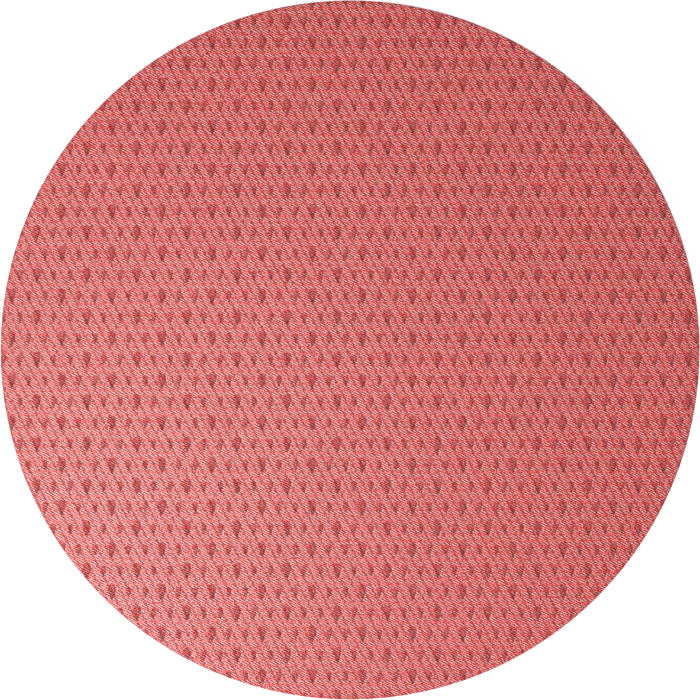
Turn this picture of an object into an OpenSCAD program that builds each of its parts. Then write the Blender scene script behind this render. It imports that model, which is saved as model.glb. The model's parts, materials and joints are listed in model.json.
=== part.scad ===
// Round zip-around hard case for table tennis paddles, lying flat with its front face up.
// Origin at the centre of the flat back face, +Z up through the front face, +Y towards the end that opens.

/* [Case] */
// Outer diameter of the case
case_d = 300; // [294:1:310]
// Height from the back face to the front face
case_h = 64; // [60:1:76]
// Radius of the soft edge round each face
edge_r = 1.5; // [1.3:0.1:3]
// Depth of the lip that each face panel turns over the edge
lip_h = 4; // [3.2:0.1:6]

/* [Wall layers] */
// Outer textile
fabric_t = 0.8; // [0.6:0.1:1.2]
// Moulded foam shell
foam_t = 4; // [3:0.5:5]
// Stiffener board in each face
board_t = 1; // [0.8:0.1:1.6]
// Inner lining
lining_t = 0.6; // [0.4:0.1:0.8]

/* [Zip] */
// Height of the gap between the two shells that the zip closes
zip_gap = 12; // [11:0.5:13]
// Thickness of the zip's tape
tape_t = 0.8; // [0.6:0.1:1]
// Height of tape and spine sewn flat on each gusset
tape_seam = 8; // [6:0.5:10]
// Radial width of a coil
coil_w = 2.2; // [2:0.1:2.4]
// Height of a coil
coil_h = 2.4; // [2.2:0.1:2.6]
// Gap between the two coils, where the slider's web runs
coil_gap = 1.2; // [1.1:0.1:1.4]
// Angle of an end stop from the middle of the hinge
stop_a = 19; // [18.5:0.5:19.5]
// Arc length of an end stop, in degrees
stop_arc = 1.2; // [0.8:0.1:1.4]

/* [Hinge] */
// Half of the angle that the hinge spine covers
spine_a = 14; // [12:0.5:14]

/* [Sliders] */
// Angle of each closed slider from the middle of the opening end
slider_a = 2.5; // [2.4:0.1:4]
// Length of a slider along the zip
slider_l = 10; // [9:0.5:10.5]
// Half height of a slider's nose
nose_h = 4.2; // [4:0.1:4.4]
// Half height of a slider's tail
tail_h = 3.6; // [3.5:0.1:3.8]
// Thickness of a slider's plates
plate_t = 1.3; // [1.2:0.1:1.4]
// Distance from a coil to each plate
plate_gap = 1.4; // [1.3:0.1:1.5]
// Radius of the pull's crossbar, under the slider's bridge
pin_r = 0.8; // [0.7:0.05:0.9]
// Length of a pull from its crossbar
pull_l = 22; // [20:1:24]
// Width of the rubber grip
grip_w = 6.8; // [6:0.2:7]
// Thickness of the rubber grip
grip_t = 2.8; // [2.4:0.1:3]

/* [Foam insert] */
// Height of the insert
insert_h = 18; // [16:1:20]
// Floor left under the pockets
insert_floor = 3; // [2:0.5:5]
// Radius of the blade pocket
blade_r = 81; // [78:1:82]
// Distance of the blade pocket's centre from the origin
blade_y = 50; // [48:1:52]
// Width of the handle slot
slot_w = 36; // [32:1:38]
// Distance of the handle slot's round end from the origin
slot_end = 131; // [126:1:132]
// Radius of a ball pocket
ball_r = 21; // [20.5:0.5:21.5]
// Radius of the finger scoops beside the blade
scoop_r = 13; // [11:1:14]

/* [Straps and pocket] */
// Width of the elastic strap over the handle
strap_w = 30; // [25:1:32]
// Length of the elastic strap
strap_l = 76; // [70:1:76]
// Distance from the lid's lining to the mesh pocket
pocket_gap = 5.8; // [5:0.1:7]
// Distance of the pocket's open edge from the middle
pocket_y = 12; // [5:1:30]
// Width of the grab tab
tab_w = 20; // [15:1:22]
// Reach of the grab tab from the wall
tab_l = 15; // [12:1:16]

/* [Hidden] */
$fn = 160;

coral = [0.82, 0.42, 0.42];
charcoal = [0.16, 0.16, 0.18];
lining_grey = [0.30, 0.30, 0.33];
foam_grey = [0.22, 0.22, 0.24];
zinc = [0.55, 0.55, 0.58];

case_r = case_d / 2;
mid_z = case_h / 2;
half_h = mid_z - zip_gap / 2;
hinge_angle = 270;
foam_r = case_r - fabric_t;
lining_r = foam_r - foam_t;
room_r = lining_r - lining_t;
board_z = fabric_t + foam_t;
lining_z = board_z + board_t;
floor_z = lining_z + lining_t;
binding_t = 0.9;
binding_r = room_r - lining_t - 0.2;
seam_play = 0.1;
coil_top = mid_z - coil_gap / 2;
coil_foot = coil_top - coil_h;
coil_r = case_r + tape_t / 2 - 0.1 + coil_w / 2;
coil_end_a = spine_a + 1;
tape_r = case_r + tape_t;
outer_plate_r = coil_r + plate_gap;
inner_plate_r = coil_r - coil_w - plate_gap;
pin_y = outer_plate_r + plate_t + pin_r + 0.4;
bridge_t = 1;
bridge_l = 9.2;
post_l = 1.2;
bridge_w = 2;
link_w = 6;
link_gap = 1.5;
link_l = 9;
tongue_l = 6;
tongue_w = 3.2;
tongue_t = 1.2;
insert_r = binding_r - lining_t - 2 * seam_play - 0.4;
insert_top = floor_z + insert_h;
strap_y = -57;
strap_t = 1;
ball_places = [[58, -98], [99, -52]];
pocket_z = case_h - floor_z - pocket_gap;
mesh_t = 0.8;
edging_w = 8;
edging_t = 2;
tab_t = 2.4;

// A ring of rectangular section, or the arc of it from one angle to the other.
module ring(r_in, r_out, z_low, z_high, from = 0, to = 360) {
    rotate([0, 0, from])
        rotate_extrude(angle = to - from)
            translate([r_in, z_low])
                square([r_out - r_in, z_high - z_low]);
}

// Half section of a disc whose lower outer edge is rounded.
module soft_disc_section(r, h, round_r) {
    square([r - round_r, h]);
    translate([0, round_r])
        square([r, h - round_r]);
    intersection() {
        translate([r - round_r, round_r])
            circle(r = round_r);
        square([r, h]);
    }
}

// Turns a piece of the back half over to make the front half's.
module front() {
    translate([0, 0, case_h])
        mirror([0, 0, 1])
            children();
}

// Face panel: a round textile cut that turns over the edge and ends in a short lip.
module panel() {
    color(coral)
        rotate_extrude()
            difference() {
                soft_disc_section(case_r, lip_h, edge_r);
                translate([0, fabric_t])
                    soft_disc_section(foam_r, lip_h, edge_r - fabric_t);
            }
}

// Side band of the same textile, butted to the panel's lip.
module gusset() {
    color(coral)
        ring(foam_r, case_r, lip_h, half_h);
}

// Moulded foam shell: a round dish.
module shell() {
    color(foam_grey)
        rotate_extrude()
            difference() {
                translate([0, fabric_t])
                    soft_disc_section(foam_r, half_h - fabric_t, edge_r - fabric_t);
                translate([0, board_z])
                    square([lining_r, half_h]);
            }
}

// Plastic board that keeps the face flat.
module stiffener() {
    color("white")
        translate([0, 0, board_z])
            cylinder(r = lining_r, h = board_t);
}

// Lining of the dish.
module lining() {
    color(lining_grey)
        difference() {
            translate([0, 0, lining_z])
                cylinder(r = lining_r, h = half_h - lining_z);
            translate([0, 0, floor_z])
                cylinder(r = room_r, h = half_h);
        }
}

// Folded tape that covers the raw edge of the wall and runs down inside it.
module binding() {
    color(charcoal) {
        ring(binding_r, case_r - seam_play, half_h, half_h + binding_t);
        ring(binding_r, room_r, half_h - tape_seam, half_h);
    }
}

// Tape of one side of the zip, sewn flat on the gusset.
module zipper_tape() {
    color(charcoal)
        ring(case_r, tape_r, half_h - tape_seam, coil_foot,
             hinge_angle + spine_a, hinge_angle + 360 - spine_a);
}

// Coil of one side of the zip: the long run between the end stops and a short tail past each.
module zipper_coil() {
    run_a = stop_a + stop_arc / 2;
    tail_a = stop_a - stop_arc / 2;
    color(charcoal) {
        ring(coil_r - coil_w, coil_r, coil_foot, coil_top, hinge_angle + run_a, hinge_angle + 360 - run_a);
        ring(coil_r - coil_w, coil_r, coil_foot, coil_top, hinge_angle + coil_end_a, hinge_angle + tail_a);
        ring(coil_r - coil_w, coil_r, coil_foot, coil_top, hinge_angle - tail_a, hinge_angle - coil_end_a);
    }
}

// Two end stops, clamped on the tape's edge in line with the coil.
module zipper_stops() {
    color(zinc)
        for (side = [-1, 1])
            ring(coil_r - coil_w - 0.5, coil_r + 0.5, coil_foot, coil_top,
                 hinge_angle + side * stop_a - stop_arc / 2, hinge_angle + side * stop_a + stop_arc / 2);
}

module back_panel() panel();

module back_gusset() gusset();

module back_shell() shell();

module back_stiffener() stiffener();

module back_lining() lining();

module back_binding() binding();

module zipper_tape_lower() zipper_tape();

module zipper_coil_lower() zipper_coil();

module zipper_stops_lower() zipper_stops();

module front_panel() front() panel();

module front_gusset() front() gusset();

module front_shell() front() shell();

module front_stiffener() front() stiffener();

module front_lining() front() lining();

module front_binding() front() binding();

module zipper_tape_upper() front() zipper_tape();

module zipper_coil_upper() front() zipper_coil();

module zipper_stops_upper() front() zipper_stops();

// Outer hinge fabric, sewn on both gussets and free between them.
module hinge_spine() {
    color(charcoal)
        ring(case_r + seam_play, tape_r + seam_play, half_h - tape_seam, case_h - half_h + tape_seam,
             hinge_angle - spine_a + seam_play, hinge_angle + spine_a - seam_play);
}

// Inner hinge fabric: sewn inside both bindings, it lies over the walls' edges and along the spine between them.
module hinge_lining() {
    leg_r = binding_r - seam_play - lining_t;
    back_r = case_r - 2 * seam_play - lining_t / 3;
    edge_z = half_h + binding_t + seam_play;
    // The legs end 2 mm short of the depth to which the tape is sewn outside.
    leg_h = tape_seam - 2 + edge_z + lining_t - half_h;
    from = hinge_angle - spine_a + 0.5;
    to = hinge_angle + spine_a - 0.5;
    color(lining_grey) {
        ring(back_r - lining_t, back_r, edge_z, case_h - edge_z, from, to);
        for (low = [true, false]) {
            fold_z = low ? edge_z : case_h - edge_z - lining_t;
            leg_z = low ? edge_z + lining_t - leg_h : fold_z;
            ring(leg_r, leg_r + lining_t, leg_z, leg_z + leg_h, from, to);
            ring(leg_r, back_r, fold_z, fold_z + lining_t, from, to);
        }
    }
}

// Outline of the paddle's pocket: round blade, handle slot and two finger scoops.
module paddle_outline() {
    translate([0, blade_y])
        circle(r = blade_r);
    translate([-slot_w / 2, slot_w / 2 - slot_end])
        square([slot_w, slot_end]);
    translate([0, slot_w / 2 - slot_end])
        circle(d = slot_w);
    for (side = [-1, 1])
        translate([side * (blade_r + 2), blade_y])
            circle(r = scoop_r);
}

// Die-cut foam tray that the paddles and balls lie in.
module foam_insert() {
    color(foam_grey)
        difference() {
            translate([0, 0, floor_z])
                cylinder(r = insert_r, h = insert_h);
            translate([0, 0, floor_z + insert_floor])
                linear_extrude(insert_h) {
                    paddle_outline();
                    for (side = [-1, 1])
                        for (place = ball_places)
                            translate([side * place.x, place.y])
                                circle(r = ball_r);
                }
        }
}

// Elastic strap sewn flat across the handle slot.
module handle_strap() {
    color(charcoal)
        translate([-strap_l / 2, strap_y - strap_w / 2, insert_top])
            cube([strap_l, strap_w, strap_t]);
}

// Short folded webbing, caught under the lower tape at the end that opens.
module grab_tab() {
    tab_z = half_h - tape_seam - tab_t - 0.2;
    color(charcoal)
        difference() {
            translate([-tab_w / 2, 0, tab_z]) {
                cube([tab_w, case_r + tab_l - tab_t / 2, tab_t]);
                translate([0, case_r + tab_l - tab_t / 2, tab_t / 2])
                    rotate([0, 90, 0])
                        cylinder(d = tab_t, h = tab_w, $fn = 32);
            }
            translate([0, 0, tab_z - 1])
                cylinder(r = case_r, h = tab_t + 2);
        }
}

// Flat mesh pocket over the hinge half of the lid's ceiling.
module mesh_pocket() {
    color(charcoal)
        intersection() {
            translate([0, 0, pocket_z - mesh_t])
                cylinder(r = room_r - seam_play, h = mesh_t);
            translate([-case_r, -case_r, 0])
                cube([case_d, case_r - pocket_y, case_h]);
        }
}

// Elastic edging along the pocket's mouth.
module pocket_edging() {
    color(charcoal)
        intersection() {
            translate([0, 0, pocket_z - mesh_t / 2 - edging_t / 2])
                cylinder(r = room_r - seam_play, h = edging_t);
            translate([-case_r, -pocket_y, 0])
                cube([case_d, edging_w, case_h]);
        }
}

// Outline of a slider's plates seen from outside, nose towards +X.
module slider_outline() {
    x = slider_l / 2;
    c = 0.8;
    polygon([
        [-x, c - tail_h], [c - x, -tail_h], [x - c, -nose_h], [x, c - nose_h],
        [x, nose_h - c], [x - c, nose_h], [c - x, tail_h], [-x, tail_h - c]
    ]);
}

// One slider, drawn at the +Y side of the case with its nose towards +X.
module slider() {
    flange_z = coil_foot - 0.3;
    color(zinc) {
        intersection() {
            union() {
                ring(outer_plate_r, outer_plate_r + plate_t, mid_z - nose_h, mid_z + nose_h, 86, 94);
                ring(inner_plate_r - plate_t, inner_plate_r, mid_z - nose_h, mid_z + nose_h, 86, 94);
                ring(tape_r + 0.4, outer_plate_r + plate_t / 2, mid_z - nose_h, flange_z, 86, 94);
                ring(inner_plate_r - plate_t / 2, case_r - 0.4, mid_z - nose_h, flange_z, 86, 94);
            }
            translate([0, inner_plate_r - 2 * plate_t, mid_z])
                rotate([-90, 0, 0])
                    linear_extrude(30)
                        slider_outline();
        }
        translate([0.4, inner_plate_r - plate_t / 2, mid_z - 0.3])
            cube([3.2, outer_plate_r - inner_plate_r + plate_t, 0.6]);
        slider_bridge();
    }
}

// Bridge on a slider's outer plate, over the pull's crossbar.
module slider_bridge() {
    bridge_y = pin_y + pin_r + 0.4;
    translate([-bridge_l / 2, bridge_y, mid_z - bridge_w / 2])
        cube([bridge_l, bridge_t, bridge_w]);
    for (x = [-bridge_l / 2, bridge_l / 2 - post_l])
        translate([x, outer_plate_r + plate_t / 2, mid_z - bridge_w / 2])
            cube([post_l, bridge_y - outer_plate_r - plate_t / 2 + bridge_t / 2, bridge_w]);
}

// Metal link of a pull, lying back along the zip from its crossbar.
module pull_link() {
    color(zinc)
        translate([0, pin_y, mid_z]) {
            translate([0, 0, -link_w / 2])
                cylinder(r = pin_r, h = link_w, $fn = 48);
            for (z = [-link_w / 2, link_gap])
                translate([-link_l, -pin_r, z])
                    cube([link_l, 2 * pin_r, link_w / 2 - link_gap]);
            translate([-link_l, -pin_r, -link_w / 2])
                cube([1.6, 2 * pin_r, link_w]);
            translate([-link_l - tongue_l, -tongue_t / 2, -tongue_w / 2])
                cube([tongue_l + 1, tongue_t, tongue_w]);
        }
}

// Rubber grip moulded on the link's tongue, with finger ridges.
module pull_grip() {
    corner = 2;
    color(charcoal)
        translate([0, pin_y, mid_z])
            difference() {
                translate([-pull_l, grip_t / 2, -grip_w / 2])
                    rotate([90, 0, 0])
                        linear_extrude(grip_t) {
                            translate([corner, 0])
                                square([pull_l - link_l - corner, grip_w]);
                            translate([0, corner])
                                square([2 * corner, grip_w - 2 * corner]);
                            for (y = [corner, grip_w - corner])
                                translate([corner, y])
                                    circle(r = corner);
                        }
                translate([-link_l - tongue_l, -tongue_t / 2, -tongue_w / 2])
                    cube([tongue_l, tongue_t, tongue_w]);
                for (x = [-pull_l + 3.2 : 2.4 : -pull_l + 8.2])
                    for (side = [-1, 1])
                        translate([x, side * grip_t / 2 - 0.3, -grip_w])
                            cube([1, 0.6, 2 * grip_w]);
            }
}

// Places a piece drawn for the +Y side at the left or the right slider's closed place.
module on_left() rotate([0, 0, slider_a]) children();

module on_right() rotate([0, 0, -slider_a]) mirror([1, 0, 0]) children();

module slider_left() on_left() slider();

module slider_right() on_right() slider();

module pull_left_link() on_left() pull_link();

module pull_left_grip() on_left() pull_grip();

module pull_right_link() on_right() pull_link();

module pull_right_grip() on_right() pull_grip();

back_panel();
back_gusset();
back_shell();
back_stiffener();
back_lining();
back_binding();
zipper_tape_lower();
zipper_coil_lower();
zipper_stops_lower();
hinge_spine();
hinge_lining();
foam_insert();
handle_strap();
grab_tab();
front_panel();
front_gusset();
front_shell();
front_stiffener();
front_lining();
front_binding();
zipper_tape_upper();
zipper_coil_upper();
zipper_stops_upper();
mesh_pocket();
pocket_edging();
slider_left();
slider_right();
pull_left_link();
pull_left_grip();
pull_right_link();
pull_right_grip();
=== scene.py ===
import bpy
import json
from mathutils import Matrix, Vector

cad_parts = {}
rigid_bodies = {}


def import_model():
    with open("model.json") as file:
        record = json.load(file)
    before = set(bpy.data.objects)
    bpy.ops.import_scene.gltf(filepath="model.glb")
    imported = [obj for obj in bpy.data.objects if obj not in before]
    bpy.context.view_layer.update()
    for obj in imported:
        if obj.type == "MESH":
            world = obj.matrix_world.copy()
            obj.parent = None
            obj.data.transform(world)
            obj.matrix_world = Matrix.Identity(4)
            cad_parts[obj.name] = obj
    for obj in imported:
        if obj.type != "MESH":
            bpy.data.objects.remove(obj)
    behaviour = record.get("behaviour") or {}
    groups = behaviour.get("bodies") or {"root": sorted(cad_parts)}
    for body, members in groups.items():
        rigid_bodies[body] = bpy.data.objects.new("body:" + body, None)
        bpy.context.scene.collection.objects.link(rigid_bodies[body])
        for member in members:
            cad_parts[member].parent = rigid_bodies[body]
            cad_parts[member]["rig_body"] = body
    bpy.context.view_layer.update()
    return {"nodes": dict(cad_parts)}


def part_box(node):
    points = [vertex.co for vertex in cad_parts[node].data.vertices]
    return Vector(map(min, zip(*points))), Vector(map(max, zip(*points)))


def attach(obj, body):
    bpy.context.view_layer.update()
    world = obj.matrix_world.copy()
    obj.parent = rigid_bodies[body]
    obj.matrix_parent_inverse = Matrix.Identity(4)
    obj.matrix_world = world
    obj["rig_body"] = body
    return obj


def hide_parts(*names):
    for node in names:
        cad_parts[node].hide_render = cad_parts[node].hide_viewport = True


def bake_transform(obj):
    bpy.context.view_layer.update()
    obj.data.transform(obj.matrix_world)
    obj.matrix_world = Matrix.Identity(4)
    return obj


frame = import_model()

# Looks of a round zip-around case for table tennis paddles.
#
# The case lies on its back face: +Z is up through the front face, +Y points to the end that opens, and the
# fabric hinge is at -Y. Shapes are worked out in millimetres and go into the meshes in metres. Pieces that
# both halves have are drawn for the back half and turned over for the front half.

import json
import logging
import math
from collections.abc import Sequence
from dataclasses import dataclass, field
from enum import Enum
from typing import ClassVar

import bmesh
import bpy
import numpy as np
from mathutils import Vector
from mathutils.geometry import delaunay_2d_cdt

log = logging.getLogger("paddle_case")

MM = 0.001
TURN = 2.0 * math.pi
HINGE_ANGLE = math.radians(270.0)
OPENING_ANGLE = math.radians(90.0)
CLOTH_MAP = "Cloth"

Colour = tuple[float, float, float]


# --- Sizes that come from the frame ---


@dataclass(frozen=True)
class Extent:
    """Box of one CAD node at rest, in millimetres."""

    low: np.ndarray
    high: np.ndarray

    @classmethod
    def of(cls, node: str) -> "Extent":
        """Reads a node's box from the frame.

        Args:
            node: The CAD node's name.

        Returns:
            The node's box.
        """
        low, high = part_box(node)
        return cls(np.array(low) / MM, np.array(high) / MM)

    @property
    def radius(self) -> float:
        """Half of the width along X, which is the radius of a round piece."""
        return float(self.high[0] - self.low[0]) / 2.0

    @property
    def bottom(self) -> float:
        """Lowest height."""
        return float(self.low[2])

    @property
    def top(self) -> float:
        """Greatest height."""
        return float(self.high[2])


CASE_HEIGHT = Extent.of("front_panel").top
MIDDLE = CASE_HEIGHT / 2.0


class Half(Enum):
    """The two dishes that the hinge joins. Each value holds the names that its nodes and its body go by."""

    BACK = ("back", "lower", "base")
    FRONT = ("front", "upper", "lid")

    @property
    def dish(self) -> str:
        """Word that the dish's nodes begin with."""
        return self.value[0]

    @property
    def zip(self) -> str:
        """Word that the zip's nodes end with."""
        return self.value[1]

    @property
    def body(self) -> str:
        """Body that the half's pieces ride on."""
        return self.value[2]


# --- Surfaces ---


def no_faces(corners: int) -> np.ndarray:
    """Empty face table.

    Args:
        corners: Corners that each face would have.

    Returns:
        An array with no rows and that many columns.
    """
    return np.zeros((0, corners), np.int64)


@dataclass
class Surface:
    """Points, faces and cloth coordinates of a piece on its way to a mesh.

    Points are (n, 3) in millimetres. Cloth is (corners, 2) in millimetres, four rows for each quad and then
    three for each triangle, and it lays the piece out flat as it was cut.
    """

    points: np.ndarray
    quads: np.ndarray = field(default_factory=lambda: no_faces(4))
    triangles: np.ndarray = field(default_factory=lambda: no_faces(3))
    cloth: np.ndarray | None = None

    @classmethod
    def joined(cls, parts: Sequence["Surface"]) -> "Surface":
        """Puts several surfaces side by side in one.

        Args:
            parts: The surfaces. Cloth coordinates are kept if all of them have them.

        Returns:
            One surface with all their points and faces.
        """
        starts = np.cumsum([0] + [len(part.points) for part in parts[:-1]])
        quads = np.concatenate([part.quads + start for part, start in zip(parts, starts)])
        triangles = np.concatenate([part.triangles + start for part, start in zip(parts, starts)])
        cloth = None
        if all(part.cloth is not None for part in parts):
            four = [part.cloth[: 4 * len(part.quads)] for part in parts]
            three = [part.cloth[4 * len(part.quads):] for part in parts]
            cloth = np.concatenate(four + three)
        return cls(np.concatenate([part.points for part in parts]), quads, triangles, cloth)

    def all_triangles(self) -> np.ndarray:
        """Every face as triangles: a quad gives its two halves."""
        return np.concatenate([self.quads[:, [0, 1, 2]], self.quads[:, [0, 2, 3]], self.triangles])

    def volume(self) -> float:
        """Signed volume: the sum of each triangle's corner product a . (b x c) / 6."""
        a, b, c = (self.points[self.all_triangles()[:, k]] for k in range(3))
        return float(np.einsum("ij,ij->i", a, np.cross(b, c)).sum()) / 6.0

    def flipped(self) -> "Surface":
        """The same surface with its faces looking the other way."""
        cloth = None
        if self.cloth is not None:
            four = self.cloth[: 4 * len(self.quads)].reshape(-1, 4, 2)[:, ::-1].reshape(-1, 2)
            three = self.cloth[4 * len(self.quads):].reshape(-1, 3, 2)[:, ::-1].reshape(-1, 2)
            cloth = np.concatenate([four, three])
        return Surface(self.points, self.quads[:, ::-1], self.triangles[:, ::-1], cloth)

    def outward(self) -> "Surface":
        """The closed surface with its faces looking outwards, so that its volume is above zero."""
        return self if self.volume() > 0.0 else self.flipped()

    def on(self, half: Half) -> "Surface":
        """Turns a piece of the back half over about Y for the front half: x to -x, z to height - z.

        Args:
            half: The half that the piece belongs to.

        Returns:
            The surface in that half's place.
        """
        if half is Half.BACK:
            return self
        turned = self.points * (-1.0, 1.0, -1.0) + (0.0, 0.0, CASE_HEIGHT)
        return Surface(turned, self.quads, self.triangles, self.cloth)

    def wrapped_cloth(self) -> "Surface":
        """Lays the faces out flat: (x, y) where they look along the axis, else (angle times radius, z).

        Returns:
            The same surface with cloth coordinates.
        """
        laid = [self._laid(faces) for faces in (self.quads, self.triangles)]
        return Surface(self.points, self.quads, self.triangles, np.concatenate(laid))

    def _laid(self, faces: np.ndarray) -> np.ndarray:
        """Cloth coordinates of faces that all have as many corners.

        Args:
            faces: (faces, corners) point numbers.

        Returns:
            (faces times corners, 2) coordinates.
        """
        if not len(faces):
            return np.zeros((0, 2))
        corners = self.points[faces]
        normal = np.cross(corners[:, 1] - corners[:, 0], corners[:, 2] - corners[:, 0])
        length = np.linalg.norm(normal, axis=1) + 1e-12
        level = np.abs(normal[:, 2]) / length > 0.7
        angle = np.arctan2(corners[..., 1], corners[..., 0])
        turn = angle - angle[:, :1]
        angle = angle[:, :1] + turn - TURN * np.round(turn / TURN)
        radius = np.hypot(corners[..., 0], corners[..., 1]).mean(axis=1, keepdims=True)
        upright = np.stack([angle * radius, corners[..., 2]], axis=-1)
        return np.where(level[:, None, None], corners[..., :2], upright).reshape(-1, 2)


def grid(points: np.ndarray, cloth: np.ndarray | None = None, close_rows: bool = False,
         close_columns: bool = False) -> Surface:
    """Joins neighbouring points of a two-parameter grid with quads.

    A quad looks along (column direction) x (row direction).

    Args:
        points: (rows, columns, 3).
        cloth: (rows, columns, 2), with one more row or column for each way that closes, or None.
        close_rows: Whether the last row joins the first.
        close_columns: Whether the last column joins the first.

    Returns:
        The surface.
    """
    rows, columns = points.shape[:2]
    i = np.arange(rows if close_rows else rows - 1)[:, None]
    j = np.arange(columns if close_columns else columns - 1)[None, :]
    steps = ((0, 0), (0, 1), (1, 1), (1, 0))
    quads = np.stack([((i + di) % rows) * columns + (j + dj) % columns for di, dj in steps], axis=-1)
    laid = None
    if cloth is not None:
        laid = np.stack([cloth[i + di, j + dj] for di, dj in steps], axis=2).reshape(-1, 2)
    return Surface(points.reshape(-1, 3), quads.reshape(-1, 4), no_faces(3), laid)


def fans(loops: np.ndarray) -> np.ndarray:
    """Triangles that close convex loops, each from its first point.

    Args:
        loops: (loops, points in each) point numbers.

    Returns:
        (triangles, 3) point numbers.
    """
    first = np.repeat(loops[:, :1], loops.shape[1] - 2, axis=1)
    return np.stack([first, loops[:, 1:-1], loops[:, 2:]], axis=-1).reshape(-1, 3)


def arc(centre: Sequence[float], radius: float, start: float, end: float, steps: int) -> np.ndarray:
    """Points on a circle: centre + radius (cos a, sin a), with a from start to end.

    Args:
        centre: The circle's centre.
        radius: The circle's radius.
        start: First angle in degrees.
        end: Last angle in degrees.
        steps: Steps between them.

    Returns:
        (steps + 1, 2) points.
    """
    angle = np.radians(np.linspace(start, end, steps + 1))
    return np.stack([centre[0] + radius * np.cos(angle), centre[1] + radius * np.sin(angle)], axis=-1)


def rounded_box(low: Sequence[float], high: Sequence[float], radius: float, steps: int = 3) -> np.ndarray:
    """Rectangle whose four corners are quarter circles, anticlockwise.

    Args:
        low: Lowest corner.
        high: Highest corner.
        radius: Radius of the corners.
        steps: Steps round each corner.

    Returns:
        (points, 2) loop.
    """
    near, far = np.array(low) + radius, np.array(high) - radius
    return np.concatenate([
        arc((far[0], near[1]), radius, -90.0, 0.0, steps),
        arc((far[0], far[1]), radius, 0.0, 90.0, steps),
        arc((near[0], far[1]), radius, 90.0, 180.0, steps),
        arc((near[0], near[1]), radius, 180.0, 270.0, steps),
    ])


def distance_along(line: np.ndarray) -> np.ndarray:
    """Length run through at each point of a line of points (points, 2 or 3)."""
    return np.concatenate([[0.0], np.cumsum(np.linalg.norm(np.diff(line, axis=0), axis=1))])


def distance_round(loop: np.ndarray) -> np.ndarray:
    """Length run through at each point of a closed loop (points, 2), and at its first point again."""
    return distance_along(np.concatenate([loop, loop[:1]]))


def ray(angle: np.ndarray) -> np.ndarray:
    """Unit directions away from the case's axis: (cos a, sin a, 0)."""
    return np.stack([np.cos(angle), np.sin(angle), np.zeros_like(angle)], axis=-1)


def onward(angle: np.ndarray) -> np.ndarray:
    """Unit directions round the case's axis: (-sin a, cos a, 0)."""
    return np.stack([-np.sin(angle), np.cos(angle), np.zeros_like(angle)], axis=-1)


def turned(radius: np.ndarray, angle: np.ndarray, height: np.ndarray) -> np.ndarray:
    """Points round the case's axis: (r cos a, r sin a, z)."""
    return np.stack([radius * np.cos(angle), radius * np.sin(angle), height], axis=-1)


def split_long(line: np.ndarray, longest: float) -> np.ndarray:
    """Cuts the long steps of a line into equal shorter ones.

    Args:
        line: (points, 2).
        longest: Longest step that may stay.

    Returns:
        The line with points added on its straight stretches.
    """
    cuts = np.maximum(1, np.ceil(np.linalg.norm(np.diff(line, axis=0), axis=1) / longest).astype(int))
    share = np.concatenate([np.arange(count) / count for count in cuts])
    start = np.repeat(line[:-1], cuts, axis=0)
    step = np.repeat(np.diff(line, axis=0), cuts, axis=0)
    return np.concatenate([start + step * share[:, None], line[-1:]])


def split_loop(loop: np.ndarray, longest: float) -> np.ndarray:
    """Cuts the long steps of a closed loop, also the one from its last point to its first.

    Args:
        loop: (points, 2).
        longest: Longest step that may stay.

    Returns:
        The loop with points added.
    """
    return split_long(np.concatenate([loop, loop[:1]]), longest)[:-1]


def with_ends(surface: Surface, rows: int, flat: np.ndarray) -> Surface:
    """Closes the two ends of a section carried along a line with fans of triangles.

    Args:
        surface: The open skin: its points run along each of the rows in turn.
        rows: Points round the section.
        flat: (points, 2) cloth coordinates of the ends.

    Returns:
        The closed surface, looking outwards.
    """
    columns = len(surface.points) // rows
    loops = np.stack([np.arange(rows) * columns, np.arange(rows)[::-1] * columns + columns - 1])
    ends = fans(loops)
    cloth = np.concatenate([surface.cloth, flat[ends.ravel()]])
    return Surface(surface.points, surface.quads, ends, cloth).outward()


def turned_solid(profile: np.ndarray, columns: int = 192) -> Surface:
    """Solid of revolution. A profile (r, z) that starts and ends on the axis is turned about Z:
    (r cos a, r sin a, z). Both poles are single points.

    Args:
        profile: (points, 2), anticlockwise in (r, z), with r = 0 at both ends.
        columns: Columns round the axis.

    Returns:
        The closed surface, with cloth coordinates.
    """
    angle = TURN * np.arange(columns) / columns
    radius, height = profile[1:-1, :1], np.repeat(profile[1:-1, 1:], columns, axis=1)
    side = grid(turned(radius, angle, height), close_columns=True)
    count = len(side.points)
    points = np.concatenate([side.points, [(0.0, 0.0, profile[0, 1])], [(0.0, 0.0, profile[-1, 1])]])
    ring = np.arange(columns)
    after = (ring + 1) % columns
    last = count - columns
    first_pole = np.stack([after, ring, np.full(columns, count)], axis=-1)
    last_pole = np.stack([last + ring, last + after, np.full(columns, count + 1)], axis=-1)
    solid = Surface(points, side.quads, np.concatenate([first_pole, last_pole]))
    return solid.outward().wrapped_cloth()


def band(section: np.ndarray, start: float = 0.0, end: float = TURN, step: float = 2.0,
         wave: float = 0.0) -> Surface:
    """Closed section carried round the case's axis: (r cos a, r sin a, z) for each section point (r, z).

    Cloth coordinates are (angle times mean radius, distance round the section).

    Args:
        section: (points, 2) closed loop in (r, z).
        start: First angle in radians.
        end: Last angle. A whole turn joins up, and a shorter band gets two end caps.
        step: Length of a column.
        wave: Height of a slow wave of the section along the band, as sewn tape has.

    Returns:
        The closed surface.
    """
    whole = abs(end - start - TURN) < 1e-6
    mean = float(section[:, 0].mean())
    columns = max(2, round((end - start) * mean / step))
    angle = start + (end - start) * np.arange(columns + 1) / columns
    angle_used = angle[:-1] if whole else angle
    radius = section[:, :1] * np.ones(len(angle_used))
    height = section[:, 1:] + wave * (np.sin(23.0 * angle_used) + 0.6 * np.sin(41.0 * angle_used + 1.0))
    cloth = np.stack(np.meshgrid(angle * mean, distance_round(section)), axis=-1)
    skin = grid(turned(radius, angle_used, height), cloth, close_rows=True, close_columns=whole)
    if whole:
        return skin.outward()
    return with_ends(skin, len(section), np.stack([radius, height], axis=-1).reshape(-1, 2))


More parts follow.
